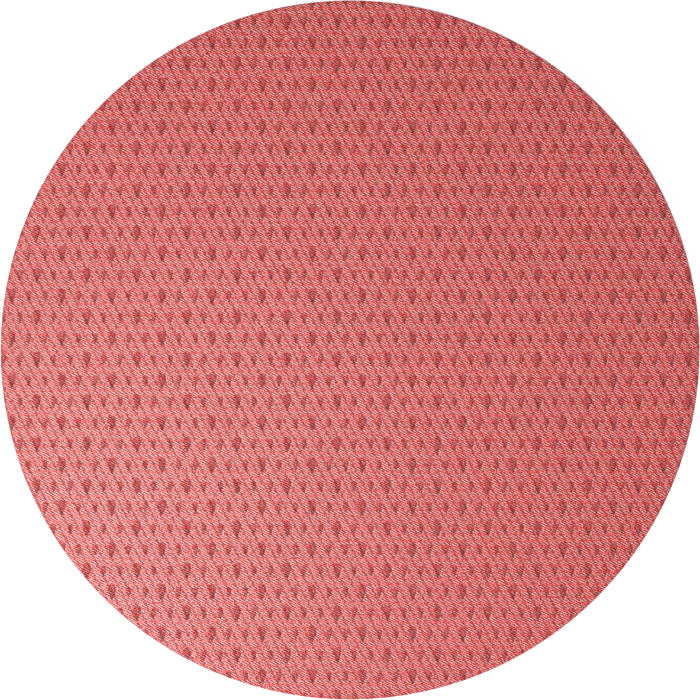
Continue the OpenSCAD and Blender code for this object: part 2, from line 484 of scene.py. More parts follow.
def tubes(lines: np.ndarray, out: np.ndarray, radii: np.ndarray, sides: int = 4) -> Surface:
    """Round threads along many lines at once: line point + radius (cos p N + sin p B), where N is the outward
    direction made square to the line's own direction T, and B = T x N. Both ends are closed.

    Args:
        lines: (tubes, points in each, 3) centre lines.
        out: Outward directions, in a shape that fits lines.
        radii: Radius at each point, in a shape that fits (tubes, points in each).
        sides: Sides of the section.

    Returns:
        The surface. Cloth coordinates are (distance along, distance round).
    """
    tangent = np.gradient(lines, axis=1)
    tangent /= np.linalg.norm(tangent, axis=2, keepdims=True)
    normal = out - tangent * np.sum(out * tangent, axis=2, keepdims=True)
    normal /= np.linalg.norm(normal, axis=2, keepdims=True)
    across = np.cross(tangent, normal)
    turn = -TURN * (np.arange(sides) + 0.5) / sides
    ring = normal[:, :, None] * np.cos(turn)[:, None] + across[:, :, None] * np.sin(turn)[:, None]
    radius = np.broadcast_to(radii, lines.shape[:2])[:, :, None, None]
    points = lines[:, :, None] + ring * radius
    count, length = lines.shape[:2]
    place = np.arange(count * length * sides).reshape(count, length, sides)
    after = np.roll(place, -1, axis=2)
    corners = (place[:, :-1], after[:, :-1], after[:, 1:], place[:, 1:])
    quads = np.stack(corners, axis=-1).reshape(-1, 4)
    step = np.linalg.norm(np.diff(lines, axis=1), axis=2)
    along = np.concatenate([np.zeros((count, 1)), np.cumsum(step, axis=1)], axis=1)[:, :, None]
    girth = TURN * radius[..., 0] * np.arange(sides + 1) / sides
    flat = np.stack(np.broadcast_arrays(along, girth), axis=-1)
    laid = (flat[:, :-1, :-1], flat[:, :-1, 1:], flat[:, 1:, 1:], flat[:, 1:, :-1])
    cloth = np.stack(laid, axis=-2).reshape(-1, 2)
    caps = np.concatenate([fans(place[:, 0, ::-1]), fans(place[:, -1])])
    cap_cloth = flat[:, :, :-1].reshape(-1, 2)[caps.ravel()]
    return Surface(points.reshape(-1, 3), quads, caps, np.concatenate([cloth, cap_cloth])).outward()


def flat_fill(outer: np.ndarray, holes: Sequence[np.ndarray], height: float) -> Surface:
    """Level face between an outline and the holes in it, filled with triangles that use the outlines' points.

    Args:
        outer: (points, 2) outline.
        holes: Outlines of the holes.
        height: Height of the face.

    Returns:
        The surface, looking up.
    """
    loops = [outer, *holes]
    starts = np.cumsum([0] + [len(loop) for loop in loops[:-1]])
    rings = [list(range(start, start + len(loop))) for start, loop in zip(starts, loops)]
    corners = [Vector(point) for point in np.concatenate(loops)]
    points, _, faces, _, _, owners = delaunay_2d_cdt(corners, [], rings, 1, 1e-7)
    kept = np.array([face for face, owner in zip(faces, owners) if owner == [0]], np.int64)
    flat = np.array([tuple(point) for point in points])
    return Surface(np.column_stack([flat, np.full(len(flat), height)]), no_faces(4), kept)


# --- Pieces ---


def mesh_of(name: str, surface: Surface) -> bpy.types.Mesh:
    """Puts a surface into a mesh, in metres.

    Args:
        name: The mesh's name.
        surface: The surface, in millimetres.

    Returns:
        The mesh, smooth shaded up to 35 degrees.
    """
    mesh = bpy.data.meshes.new(name)
    corners = np.concatenate([surface.quads.ravel(), surface.triangles.ravel()]).astype(np.int32)
    sizes = np.repeat([4, 3], [len(surface.quads), len(surface.triangles)])
    mesh.vertices.add(len(surface.points))
    mesh.vertices.foreach_set("co", (surface.points * MM).astype(np.float32).ravel())
    mesh.loops.add(len(corners))
    mesh.loops.foreach_set("vertex_index", corners)
    mesh.polygons.add(len(sizes))
    mesh.polygons.foreach_set("loop_start", np.concatenate([[0], np.cumsum(sizes)[:-1]]).astype(np.int32))
    if surface.cloth is not None:
        layer = mesh.uv_layers.new(name=CLOTH_MAP)
        layer.data.foreach_set("uv", (surface.cloth * MM).astype(np.float32).ravel())
    mesh.update(calc_edges=True)
    mesh.shade_smooth()
    mesh.set_sharp_from_angle(angle=math.radians(35.0))
    return mesh


@dataclass(frozen=True)
class Finish:
    """A finish that a piece is dressed in: its material and the record's slot that it stands for."""

    material: bpy.types.Material
    slot: str


def piece(name: str, surface: Surface, finish: Finish, body: str | None = None,
          replaces: Sequence[str] = ()) -> bpy.types.Object:
    """Makes a named piece from a surface.

    Args:
        name: The piece's name.
        surface: Its surface, in millimetres.
        finish: Its finish.
        body: The body that it rides on, or None for a piece that rides on no body.
        replaces: CAD nodes that it stands for.

    Returns:
        The new object, at the origin.
    """
    made = bpy.data.objects.new(name, mesh_of(name, surface))
    bpy.context.scene.collection.objects.link(made)
    made.data.materials.append(finish.material)
    if body:
        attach(made, body)
    if replaces:
        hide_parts(*replaces)
    log.info("%s: %d faces", name, len(made.data.polygons))
    return made


def merged(made: bpy.types.Object, distance: float = 0.002) -> None:
    """Joins points of a piece that lie on each other, so that its parts are one closed skin.

    Args:
        made: The piece.
        distance: Greatest distance between two such points, in millimetres.
    """
    work = bmesh.new()
    work.from_mesh(made.data)
    bmesh.ops.remove_doubles(work, verts=work.verts, dist=distance * MM)
    work.to_mesh(made.data)
    work.free()


def softened(node: str, name: str, finish: Finish, width: float, segments: int = 2) -> bpy.types.Object:
    """Cast or moulded piece with the CAD node's shape and rounded edges: a merged copy with a bevel.

    Args:
        node: The CAD node.
        name: The new piece's name.
        finish: Its finish.
        width: Width of the rounding, in millimetres.
        segments: Faces across the rounding.

    Returns:
        The new piece, which replaces the node.
    """
    source = frame["nodes"][node]
    made = bpy.data.objects.new(name, source.data.copy())
    bpy.context.scene.collection.objects.link(made)
    work = bmesh.new()
    work.from_mesh(made.data)
    bmesh.ops.remove_doubles(work, verts=work.verts, dist=0.001 * MM)
    bmesh.ops.dissolve_limit(work, angle_limit=math.radians(1.0), verts=work.verts, edges=work.edges)
    work.to_mesh(made.data)
    work.free()
    made.data.materials.clear()
    made.data.materials.append(finish.material)
    made.data.shade_smooth()
    bevel = made.modifiers.new("Rounding", "BEVEL")
    bevel.width = width * MM
    bevel.segments = segments
    bevel.limit_method = "ANGLE"
    bevel.angle_limit = math.radians(40.0)
    bevel.harden_normals = True
    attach(made, source["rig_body"])
    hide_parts(node)
    log.info("%s: rounded copy of %s", name, node)
    return made


# --- Finishes ---


def linear(red: float, green: float, blue: float) -> Colour:
    """Turns a screen colour of 0 to 255 into linear light: ((c + 0.055) / 1.055) ^ 2.4 above the toe.

    Returns:
        The linear colour.
    """
    scaled = np.array([red, green, blue]) / 255.0
    light = np.where(scaled <= 0.04045, scaled / 12.92, ((scaled + 0.055) / 1.055) ** 2.4)
    return tuple(float(c) for c in light)


class Signal:
    """A number that varies over a surface. Arithmetic on it adds Math nodes to its tree."""

    def __init__(self, tree: "Tree", socket: bpy.types.NodeSocket) -> None:
        """Holds a socket.

        Args:
            tree: The tree that it belongs to.
            socket: The output that gives the number.
        """
        self.tree = tree
        self.socket = socket

    def __add__(self, other: "Signal | float") -> "Signal":
        """Sum."""
        return self.tree.math("ADD", self, other)

    def __sub__(self, other: "Signal | float") -> "Signal":
        """Difference."""
        return self.tree.math("SUBTRACT", self, other)

    def __rsub__(self, other: float) -> "Signal":
        """Difference from a plain number."""
        return self.tree.math("SUBTRACT", other, self)

    def __mul__(self, other: "Signal | float") -> "Signal":
        """Product."""
        return self.tree.math("MULTIPLY", self, other)

    def __truediv__(self, other: "Signal | float") -> "Signal":
        """Quotient."""
        return self.tree.math("DIVIDE", self, other)

    __radd__ = __add__
    __rmul__ = __mul__

    def sin(self) -> "Signal":
        """Sine of the number in radians."""
        return self.tree.math("SINE", self)

    def abs(self) -> "Signal":
        """Size without the sign."""
        return self.tree.math("ABSOLUTE", self)

    def round(self) -> "Signal":
        """Nearest whole number."""
        return self.tree.math("ROUND", self)

    def floor(self) -> "Signal":
        """Whole number at or below."""
        return self.tree.math("FLOOR", self)

    def power(self, exponent: float) -> "Signal":
        """The number raised to an exponent."""
        return self.tree.math("POWER", self, exponent)

    def at_least(self, low: float) -> "Signal":
        """The greater of the number and low."""
        return self.tree.math("MAXIMUM", self, low)

    def at_most(self, high: float) -> "Signal":
        """The smaller of the number and high."""
        return self.tree.math("MINIMUM", self, high)

    def ease(self, low: float, high: float) -> "Signal":
        """Smooth step: 0 up to low, 1 from high on, and 3 t^2 - 2 t^3 between them."""
        return self.tree.ease(self, low, high)


class Tree:
    """Writes the nodes of one material around a Principled shader."""

    def __init__(self, name: str, **shader: float | Colour) -> None:
        """Starts a material.

        Args:
            name: The material's name.
            shader: Constants for the shader's own sockets, with _ for a space.
        """
        self.material = bpy.data.materials.new(name)
        self.material.use_nodes = True
        self.nodes = self.material.node_tree.nodes
        self.links = self.material.node_tree.links
        self.nodes.clear()
        self.shader = self.nodes.new("ShaderNodeBsdfPrincipled")
        output = self.nodes.new("ShaderNodeOutputMaterial")
        self.links.new(self.shader.outputs["BSDF"], output.inputs["Surface"])
        for socket, value in shader.items():
            self.shader.inputs[socket.replace("_", " ")].default_value = (
                (*value, 1.0) if isinstance(value, tuple) else value
            )

    def feed(self, node: bpy.types.Node, socket: str | int, value: object) -> None:
        """Links a signal or socket to an input, or sets the input to a constant.

        Args:
            node: The node.
            socket: Its input's name or number.
            value: A Signal, a socket, a number or a colour.
        """
        if isinstance(value, Signal):
            value = value.socket
        if isinstance(value, bpy.types.NodeSocket):
            self.links.new(value, node.inputs[socket])
        elif isinstance(value, tuple) and len(value) == 3 and node.inputs[socket].type == "RGBA":
            node.inputs[socket].default_value = (*value, 1.0)
        else:
            node.inputs[socket].default_value = value

    def math(self, operation: str, *values: "Signal | float") -> Signal:
        """Adds a Math node.

        Args:
            operation: Blender's name of the operation.
            values: Its inputs.

        Returns:
            The result.
        """
        node = self.nodes.new("ShaderNodeMath")
        node.operation = operation
        for place, value in enumerate(values):
            self.feed(node, place, value)
        return Signal(self, node.outputs[0])

    def ease(self, value: Signal, low: float, high: float) -> Signal:
        """Smooth step of a signal between two of its values.

        Args:
            value: The signal.
            low: Value that gives 0.
            high: Value that gives 1.

        Returns:
            The eased signal.
        """
        node = self.nodes.new("ShaderNodeMapRange")
        node.interpolation_type = "SMOOTHSTEP"
        self.feed(node, "Value", value)
        node.inputs["From Min"].default_value = low
        node.inputs["From Max"].default_value = high
        return Signal(self, node.outputs["Result"])

    def cloth(self) -> tuple[Signal, Signal]:
        """The piece's cloth coordinates, across and along, in millimetres."""
        source = self.nodes.new("ShaderNodeUVMap")
        source.uv_map = CLOTH_MAP
        split = self.nodes.new("ShaderNodeSeparateXYZ")
        self.links.new(source.outputs["UV"], split.inputs[0])
        return Signal(self, split.outputs[0]) * 1000.0, Signal(self, split.outputs[1]) * 1000.0

    def place(self) -> bpy.types.NodeSocket:
        """The point's place on the object, in millimetres."""
        source = self.nodes.new("ShaderNodeTexCoord")
        scale = self.nodes.new("ShaderNodeVectorMath")
        scale.operation = "SCALE"
        scale.inputs["Scale"].default_value = 1000.0
        self.links.new(source.outputs["Object"], scale.inputs[0])
        return scale.outputs[0]

    def pair(self, across: "Signal | float", along: "Signal | float", third: "Signal | float" = 0.0
             ) -> bpy.types.NodeSocket:
        """Makes a vector of two or three signals."""
        node = self.nodes.new("ShaderNodeCombineXYZ")
        for place, value in enumerate((across, along, third)):
            self.feed(node, place, value)
        return node.outputs[0]

    def noise(self, vector: bpy.types.NodeSocket, period: float, detail: float = 2.0,
              roughness: float = 0.5) -> Signal:
        """Adds a noise, about 0 to 1 with its middle at 0.5.

        Args:
            vector: Where it is read, in millimetres.
            period: Size of its blots, in millimetres.
            detail: Octaves.
            roughness: Strength of each octave against the one before.

        Returns:
            The noise.
        """
        node = self.nodes.new("ShaderNodeTexNoise")
        self.links.new(vector, node.inputs["Vector"])
        node.inputs["Scale"].default_value = 1.0 / period
        node.inputs["Detail"].default_value = detail
        node.inputs["Roughness"].default_value = roughness
        return Signal(self, node.outputs["Fac"])

    def cells(self, vector: bpy.types.NodeSocket, period: float) -> Signal:
        """Adds a cell pattern: distance to the nearest cell's middle.

        Args:
            vector: Where it is read, in millimetres.
            period: Size of the cells, in millimetres.

        Returns:
            The distance, about 0 to 1.
        """
        node = self.nodes.new("ShaderNodeTexVoronoi")
        self.links.new(vector, node.inputs["Vector"])
        node.inputs["Scale"].default_value = 1.0 / period
        return Signal(self, node.outputs["Distance"])

    def ramp(self, value: Signal, *stops: tuple[float, Colour]) -> bpy.types.NodeSocket:
        """Turns a signal into a colour.

        Args:
            value: The signal.
            stops: Place from 0 to 1 and colour there.

        Returns:
            The colour.
        """
        node = self.nodes.new("ShaderNodeValToRGB")
        while len(node.color_ramp.elements) < len(stops):
            node.color_ramp.elements.new(1.0)
        for element, (place, colour) in zip(node.color_ramp.elements, stops):
            element.position = place
            element.color = (*colour, 1.0)
        self.feed(node, "Fac", value)
        return node.outputs["Color"]

    def mix(self, factor: "Signal | float", first: object, second: object,
            blend: str = "MIX") -> bpy.types.NodeSocket:
        """Mixes two colours.

        Args:
            factor: Share of the second.
            first: A colour or socket.
            second: A colour or socket.
            blend: Blender's name of the way to mix.

        Returns:
            The mixed colour.
        """
        node = self.nodes.new("ShaderNodeMix")
        node.data_type = "RGBA"
        node.blend_type = blend
        self.feed(node, 0, factor)
        self.feed(node, 6, first)
        self.feed(node, 7, second)
        return node.outputs[2]

    def bump(self, height: Signal, depth: float, strength: float = 1.0) -> None:
        """Gives the surface a fine relief.

        Args:
            height: Height from 0 to 1.
            depth: Height of 1, in millimetres.
            strength: Strength of the relief.
        """
        node = self.nodes.new("ShaderNodeBump")
        node.inputs["Strength"].default_value = strength
        node.inputs["Distance"].default_value = depth * MM
        self.feed(node, "Height", height)
        self.links.new(node.outputs["Normal"], self.shader.inputs["Normal"])

    def colour(self, value: object) -> None:
        """Sets the base colour to a colour or socket."""
        self.feed(self.shader, "Base Color", value)

    def roughness(self, value: "Signal | float") -> None:
        """Sets the roughness to a number or signal."""
        self.feed(self.shader, "Roughness", value)


@dataclass(frozen=True)
class Drop:
    """Outline of a teardrop with its round end up.

    At height y, from -1 at the tip to 1 at the round end, its half width is
    half_width / 0.68 x sqrt(1 - y^2) x ((1 + y) / 2) ^ 0.85.
    """

    half_width: float
    half_height: float

    FULLNESS: ClassVar[float] = 0.68
    TAPER: ClassVar[float] = 0.85


@dataclass(frozen=True)
class DropLattice:
    """Rows of pressed teardrops: each third one is large, and alternate rows lie half a repeat along."""

    repeat: float = 21.45
    row: float = 9.04
    large: Drop = Drop(1.68, 3.70)
    small: Drop = Drop(1.18, 2.65)
    across: float = -5.3
    along: float = -4.4
    depth: float = 0.45

    @property
    def third(self) -> float:
        """Distance between neighbouring teardrops of a row."""
        return self.repeat / 3.0

    def nearest(self, u: np.ndarray, v: np.ndarray) -> tuple[np.ndarray, np.ndarray, np.ndarray, np.ndarray]:
        """Finds the nearest teardrop of each point.

        Args:
            u: Cloth coordinates across.
            v: Cloth coordinates along.

        Returns:
            Offsets across and along from its middle, its half width there and its greatest half width.
        """
        row = np.round((v - self.along) / self.row)
        dv = v - self.along - row * self.row
        shifted = u - self.across - np.mod(row, 2.0) * self.repeat / 2.0
        step = np.round(shifted / self.third)
        du = shifted - step * self.third
        is_large = np.mod(step, 3.0) == 0.0
        wide = np.where(is_large, self.large.half_width, self.small.half_width)
        tall = np.where(is_large, self.large.half_height, self.small.half_height)
        y = np.clip(dv / tall, -1.0, 1.0)
        half = wide / Drop.FULLNESS * np.sqrt(1.0 - y * y) * ((1.0 + y) / 2.0) ** Drop.TAPER
        return du, dv, half, wide

    def pressed(self, u: np.ndarray, v: np.ndarray) -> np.ndarray:
        """Depth of the pressing: a quarter sine from the outline to the middle.

        Args:
            u: Cloth coordinates across.
            v: Cloth coordinates along.

        Returns:
            Depths, 0 outside the teardrops.
        """
        du, _, half, wide = self.nearest(u, v)
        inside = np.clip((half - np.abs(du)) / (0.6 * wide), 0.0, 1.0)
        return self.depth * wide / self.large.half_width * np.sin(inside * math.pi / 2.0)

    def snapped(self, u: np.ndarray, v: np.ndarray, step: float) -> np.ndarray:
        """Moves the grid points that lie next to an outline across onto it, so that its edge is crisp.

        Args:
            u: Cloth coordinates across.
            v: Cloth coordinates along.
            step: Distance between the grid's columns.

        Returns:
            The new coordinates across.
        """
        du, _, half, wide = self.nearest(u, v)
        near = (np.abs(np.abs(du) - half) < 0.45 * step) & (half > 0.2 * wide)
        return np.where(near, u - du + np.sign(du) * half, u)

    def signals(self, u: Signal, v: Signal) -> tuple[Signal, Signal, Signal]:
        """The same outline in a material.

        Args:
            u: Cloth coordinate across.
            v: Cloth coordinate along.

        Returns:
            1 inside a teardrop and 0 outside, 0 at its left to 1 at its right, and height from -1 to 1.
        """
        row = ((v - self.along) / self.row).round()
        dv = v - self.along - row * self.row
        odd = row - (row / 2.0).floor() * 2.0
        shifted = u - self.across - odd * (self.repeat / 2.0)
        step = (shifted / self.third).round()
        du = shifted - step * self.third
        is_small = (step - (step / 3.0).floor() * 3.0).at_most(1.0)
        wide = is_small * (self.small.half_width - self.large.half_width) + self.large.half_width
        tall = is_small * (self.small.half_height - self.large.half_height) + self.large.half_height
        y = (dv / tall).at_least(-1.0).at_most(1.0)
        bulge = (1.0 - y * y).at_least(0.0).power(0.5) * ((y + 1.0) / 2.0).at_least(0.0).power(Drop.TAPER)
        gap = wide * bulge / Drop.FULLNESS - du.abs()
        return gap.ease(-0.18, 0.28), (du / wide).ease(-0.15, 0.85), y


@dataclass(frozen=True)
class Weft:
    """One set of parallel ribs of the twill: so many for each steep ridge and each level row of the weave."""

    ridges: int
    rows: int
    strength: float
    phase: float = 0.0


@dataclass(frozen=True)
class CoralTextile:
    """Coral twill: steep ridges of short fine dashes that run down to the right, with pressed teardrops."""

    ridge: tuple[float, float] = (-0.258, -0.136)
    row: tuple[float, float] = (0.0, -0.374)
    ribs: tuple[Weft, ...] = (
        Weft(2, 2, 0.50),
        Weft(2, 1, 0.23),
        Weft(1, 0, 0.11, 0.8),
        Weft(2, 0, 0.12, -1.3),
        Weft(1, 2, 0.12, -1.5),
        Weft(3, 1, 0.12, 2.5),
    )
    fibre: float = 1.2
    speck: float = 2.3
    # The ramp colours paint the weave's light and shade: shade and dusk are painted shade between the yarns,
    # bloom and glint are painted highlights on them, and coral is the cloth's own red.
    shade: Colour = linear(84, 1, 5)
    dusk: Colour = linear(176, 14, 20)
    coral: Colour = linear(235, 30, 40)
    bloom: Colour = linear(253, 74, 78)
    glint: Colour = linear(255, 186, 180)
    # The pressed and tip colours are painted shade in the teardrops' hollows: pressed darkens the whole hollow
    # where its sheen is lost, and the tip colour is deepest at the tip and along the right side.
    pressed: Colour = (0.82, 0.42, 0.42)
    tip: Colour = (0.19, 0.04, 0.04)

    def finish(self, name: str, drops: DropLattice) -> Finish:
        """Makes the material.

        Args:
            name: The material's name.
            drops: Where the teardrops lie on this piece.

        Returns:
            The finish.
        """
        tree = Tree(name, Roughness=0.45, Sheen_Weight=0.06, Sheen_Roughness=0.5,
                    Sheen_Tint=linear(255, 220, 214), Specular_IOR_Level=1.0)
        u, v = tree.cloth()
        place = tree.pair(u, v)
        weave = self.weave(tree, u, v)
        inside, right, height = drops.signals(u, v)
        tone = weave + 0.5
        # Painted light: the weave's relief is coloured as painted highlights on its ridges and painted shade
        # in its hollows.
        cloth = tree.ramp(tone, (0.0, self.shade), (0.25, self.dusk), (0.5, self.coral), (0.75, self.bloom),
                          (1.0, self.glint))
        # Painted shade inside each teardrop, darker towards its tip and its right side, multiplied into the
        # cloth colour.
        low = 1.0 - height.ease(-0.95, 0.3)
        hollow_shade = tree.mix((right * 0.55 + low * 0.95).at_most(1.0), self.pressed, self.tip)
        colour = tree.mix(inside * 0.95, cloth, hollow_shade, "MULTIPLY")
        patchy = tree.noise(place, 45.0, 3.0, 0.6) * 0.16 + 0.92
        tree.colour(tree.mix(1.0, colour, tree.pair(patchy, patchy, patchy), "MULTIPLY"))
        tree.roughness((0.72 - tone * 0.34 + inside * 0.25).at_least(0.38).at_most(0.85))
        tree.bump(weave * 1.2 + 0.5, 0.06, 0.7)
        return Finish(tree.material, "coral_twill")

    def weave(self, tree: Tree, u: Signal, v: Signal) -> Signal:
        """Relief of the weave: the sum of strength x cos(ridges p + rows q + phase), where p and q are the
        phases of the steep ridges and of the level rows, and of noise along the dashes and of fine specks.

        Args:
            tree: The material's tree.
            u: Cloth coordinate across.
            v: Cloth coordinate along.

        Returns:
            The relief, about -0.5 to 0.5.
        """
        place = tree.pair(u, v)
        moved_u = u + (tree.noise(place, 55.0, 1.0) - 0.5) * 1.6 + (tree.noise(place, 3.1, 1.0) - 0.5) * 0.14
        moved_v = v + (tree.noise(tree.pair(v, u, 9.0), 60.0, 1.0) - 0.5) * 1.4
        p = (moved_u * self.ridge[0] + moved_v * self.ridge[1]) * TURN
        q = (moved_u * self.row[0] + moved_v * self.row[1]) * TURN
        waves = [(p * rib.ridges + q * rib.rows + (rib.phase + math.pi / 2.0)).sin() * rib.strength
                 for rib in self.ribs]
        leaning = tree.pair((u * 0.893 - v * 0.451) / 1.5, (u * 0.451 + v * 0.893) / 0.5)
        fibres = (tree.noise(leaning, 1.0, 1.0, 0.6) - 0.5) * self.fibre
        specks = (tree.noise(place, 0.62, 1.0, 0.6) - 0.5) * self.speck
        return sum(waves[1:], waves[0]) + fibres + specks


@dataclass(frozen=True)
class TricotLining:
    """Brushed warp-knit lining: columns of small slanted stitches under a short nap."""

    dark: Colour = linear(47, 48, 54)
    light: Colour = linear(86, 88, 97)
    column: float = 0.85
    course: float = 0.7

    def finish(self) -> Finish:
        """Makes the material."""
        tree = Tree("brushed_tricot", Roughness=0.9, Sheen_Weight=0.35, Sheen_Roughness=0.5,
                    Specular_IOR_Level=0.2)
        u, v = tree.cloth()
        place = tree.pair(u, v)
        wander = (tree.noise(place, 6.0, 1.0) - 0.5) * 0.3
        zigzag = (u * (TURN / self.column)).sin()
        stitches = ((v / self.course + zigzag * 0.22 + wander) * TURN).sin() * 0.5 + 0.5
        columns = zigzag.abs()
        nap = tree.noise(place, 0.5, 4.0, 0.75)
        relief = stitches * 0.45 + columns * 0.35 + nap * 0.5
        tree.colour(tree.ramp(relief * 0.8, (0.15, self.dark), (0.95, self.light)))
        tree.bump(relief, 0.16, 0.7)
        return Finish(tree.material, "lining")


@dataclass(frozen=True)
class WovenTape:
    """Narrow woven tape: herringbone ribs along its length."""

    name: str
    slot: str
    dark: Colour
    light: Colour
    rib: float = 0.9
    weft: float = 0.55

    def finish(self) -> Finish:
        """Makes the material."""
        tree = Tree(self.name, Roughness=0.78, Sheen_Weight=0.25, Sheen_Roughness=0.4, Specular_IOR_Level=0.3)
        u, v = tree.cloth()
        lean = (v * (TURN / (4.0 * self.rib))).sin()
        bars = ((u / self.weft + lean * 0.9) * TURN).sin() * 0.5 + 0.5
        ribs = (v * (TURN / self.rib)).sin() * 0.5 + 0.5
        fluff = tree.noise(tree.pair(u, v), 0.35, 3.0, 0.7)
        relief = bars * 0.5 + ribs * 0.3 + fluff * 0.35
        tree.colour(tree.ramp(relief * 0.85, (0.1, self.dark), (0.95, self.light)))
        tree.bump(relief, 0.14, 0.8)
        return Finish(tree.material, self.slot)


@dataclass(frozen=True)
class RibbedElastic:
    """Knitted elastic: raised cords along its length, with fine stitches across them."""

    dark: Colour = linear(26, 26, 30)
    light: Colour = linear(72, 73, 80)
    cord: float = 1.25
    stitch: float = 0.6

    def finish(self) -> Finish:
        """Makes the material."""
        tree = Tree("ribbed_elastic", Roughness=0.82, Sheen_Weight=0.2, Sheen_Roughness=0.4,
                    Specular_IOR_Level=0.25)
        u, v = tree.cloth()
        cords = (v * (math.pi / self.cord)).sin().abs()
        stitches = ((u / self.stitch + cords * 0.35) * TURN).sin() * 0.5 + 0.5
        fluff = tree.noise(tree.pair(u, v), 0.4, 3.0, 0.7)
        relief = cords * 0.6 + stitches * 0.25 + fluff * 0.25
        tree.colour(tree.ramp(relief * 0.9, (0.1, self.dark), (0.95, self.light)))
        tree.bump(relief, 0.2, 0.8)
        return Finish(tree.material, "elastic")


@dataclass(frozen=True)
class CellFoam:
    """Closed-cell foam: a matt skin with small open cells and slow shading."""

    name: str
    slot: str
    dark: Colour
    light: Colour
    cell: float = 0.8

    def finish(self) -> Finish:
        """Makes the material."""
        tree = Tree(self.name, Roughness=0.88, Specular_IOR_Level=0.25, Sheen_Weight=0.12,
                    Sheen_Roughness=0.6)
        place = tree.place()
        cells = tree.cells(place, self.cell).ease(0.05, 0.55)
        grain = tree.noise(place, 0.35, 3.0, 0.7)
        slow = tree.noise(place, 28.0, 2.0)
        tone = cells * 0.45 + grain * 0.35 + slow * 0.35
        tree.colour(tree.ramp(tone, (0.2, self.dark), (0.95, self.light)))
        tree.roughness(grain * 0.12 + 0.8)
        tree.bump(cells * 0.6 + grain * 0.5, 0.14, 0.6)
        return Finish(tree.material, self.slot)


@dataclass(frozen=True)
class PlasticBoard:
    """Plain sheet of white polypropylene with a fine leathery press mark."""

    base: Colour = linear(222, 222, 219)
    mark: Colour = linear(198, 198, 196)

    def finish(self) -> Finish:
        """Makes the material."""
        tree = Tree("stiffener_board", Roughness=0.5, Specular_IOR_Level=0.45)
        place = tree.place()
        press = tree.cells(place, 1.1)
        haze = tree.noise(place, 35.0, 2.0)
        tree.colour(tree.ramp(press * 0.5 + haze * 0.5, (0.2, self.mark), (0.8, self.base)))
        tree.roughness(haze * 0.2 + 0.4)
        tree.bump(press, 0.05, 0.5)
        return Finish(tree.material, "board")


@dataclass(frozen=True)
class NylonCoil:
    """Drawn nylon: a smooth dark monofilament with faint lengthwise haze."""

    dark: Colour = linear(24, 24, 27)
    light: Colour = linear(52, 52, 58)

    def finish(self) -> Finish:
        """Makes the material."""
        tree = Tree("nylon_coil", Roughness=0.34, Specular_IOR_Level=0.5, Coat_Weight=0.25,
                    Coat_Roughness=0.3)
        u, v = tree.cloth()
        streaks = tree.noise(tree.pair(u / 8.0, v), 0.25, 2.0)
        tree.colour(tree.ramp(streaks, (0.25, self.dark), (0.8, self.light)))
        tree.roughness(streaks * 0.2 + 0.26)
        return Finish(tree.material, "coil")


@dataclass(frozen=True)
class PlatedZinc:
    """Gunmetal plating on cast zinc: fine polishing lines, and paler worn spots."""

    dark: Colour = linear(92, 92, 97)
    light: Colour = linear(166, 167, 172)

    def finish(self) -> Finish:
        """Makes the material."""
        tree = Tree("plated_zinc", Metallic=1.0, Roughness=0.3)
        place = tree.place()
        worn = tree.noise(place, 3.5, 4.0, 0.65)
        grain = tree.noise(place, 0.18, 2.0)
        tree.colour(tree.ramp(worn * 0.8 + grain * 0.2, (0.3, self.dark), (0.75, self.light)))
        tree.roughness(worn * 0.22 + grain * 0.12 + 0.14)
        tree.bump(grain, 0.02, 0.4)
        return Finish(tree.material, "zinc")


@dataclass(frozen=True)
class GripRubber:
    """Moulded rubber: matt, with a fine spark-eroded grain and dust in its hollows."""

    dark: Colour = linear(22, 22, 25)
    dusty: Colour = linear(58, 58, 63)

    def finish(self) -> Finish:
        """Makes the material."""
        tree = Tree("grip_rubber", Roughness=0.6, Specular_IOR_Level=0.4)
        place = tree.place()
        grain = tree.noise(place, 0.22, 3.0, 0.7)
        dust = tree.noise(place, 4.0, 3.0)
        tree.colour(tree.ramp(grain * 0.5 + dust * 0.5, (0.3, self.dark), (0.85, self.dusty)))
        tree.roughness(dust * 0.25 + 0.48)
        tree.bump(grain, 0.06, 0.6)
        return Finish(tree.material, "grip_rubber")


@dataclass(frozen=True)
class Yarn:
    """Twisted yarn: ply lines that lean round the thread."""

    name: str
    slot: str
    dark: Colour
    light: Colour
    ply: float = 0.55

    def finish(self) -> Finish:
        """Makes the material."""
        tree = Tree(self.name, Roughness=0.7, Sheen_Weight=0.3, Sheen_Roughness=0.4, Specular_IOR_Level=0.3)
        u, v = tree.cloth()
        plies = ((u / self.ply + v / self.ply) * TURN).sin() * 0.5 + 0.5
        fluff = tree.noise(tree.place(), 0.3, 2.0, 0.7)
        tree.colour(tree.ramp(plies * 0.6 + fluff * 0.4, (0.2, self.dark), (0.9, self.light)))
        tree.bump(plies, 0.05, 0.6)
        return Finish(tree.material, self.slot)


@dataclass(frozen=True)
class KnittedNet:
    """Open sports net: knitted bars with a visible loop structure."""

    dark: Colour = linear(30, 30, 34)
    light: Colour = linear(78, 79, 86)
    loop: float = 0.55

    def finish(self) -> Finish:
        """Makes the material."""
        tree = Tree("knitted_net", Roughness=0.75, Sheen_Weight=0.25, Sheen_Roughness=0.4,
                    Specular_IOR_Level=0.3)
        u, v = tree.cloth()
        loops = (u * (TURN / self.loop)).sin() * (v * (TURN / self.loop)).sin() * 0.5 + 0.5
        fluff = tree.noise(tree.pair(u, v), 0.4, 2.0, 0.7)
        tree.colour(tree.ramp(loops * 0.6 + fluff * 0.4, (0.2, self.dark), (0.9, self.light)))
        tree.bump(loops, 0.1, 0.7)
        return Finish(tree.material, "mesh")


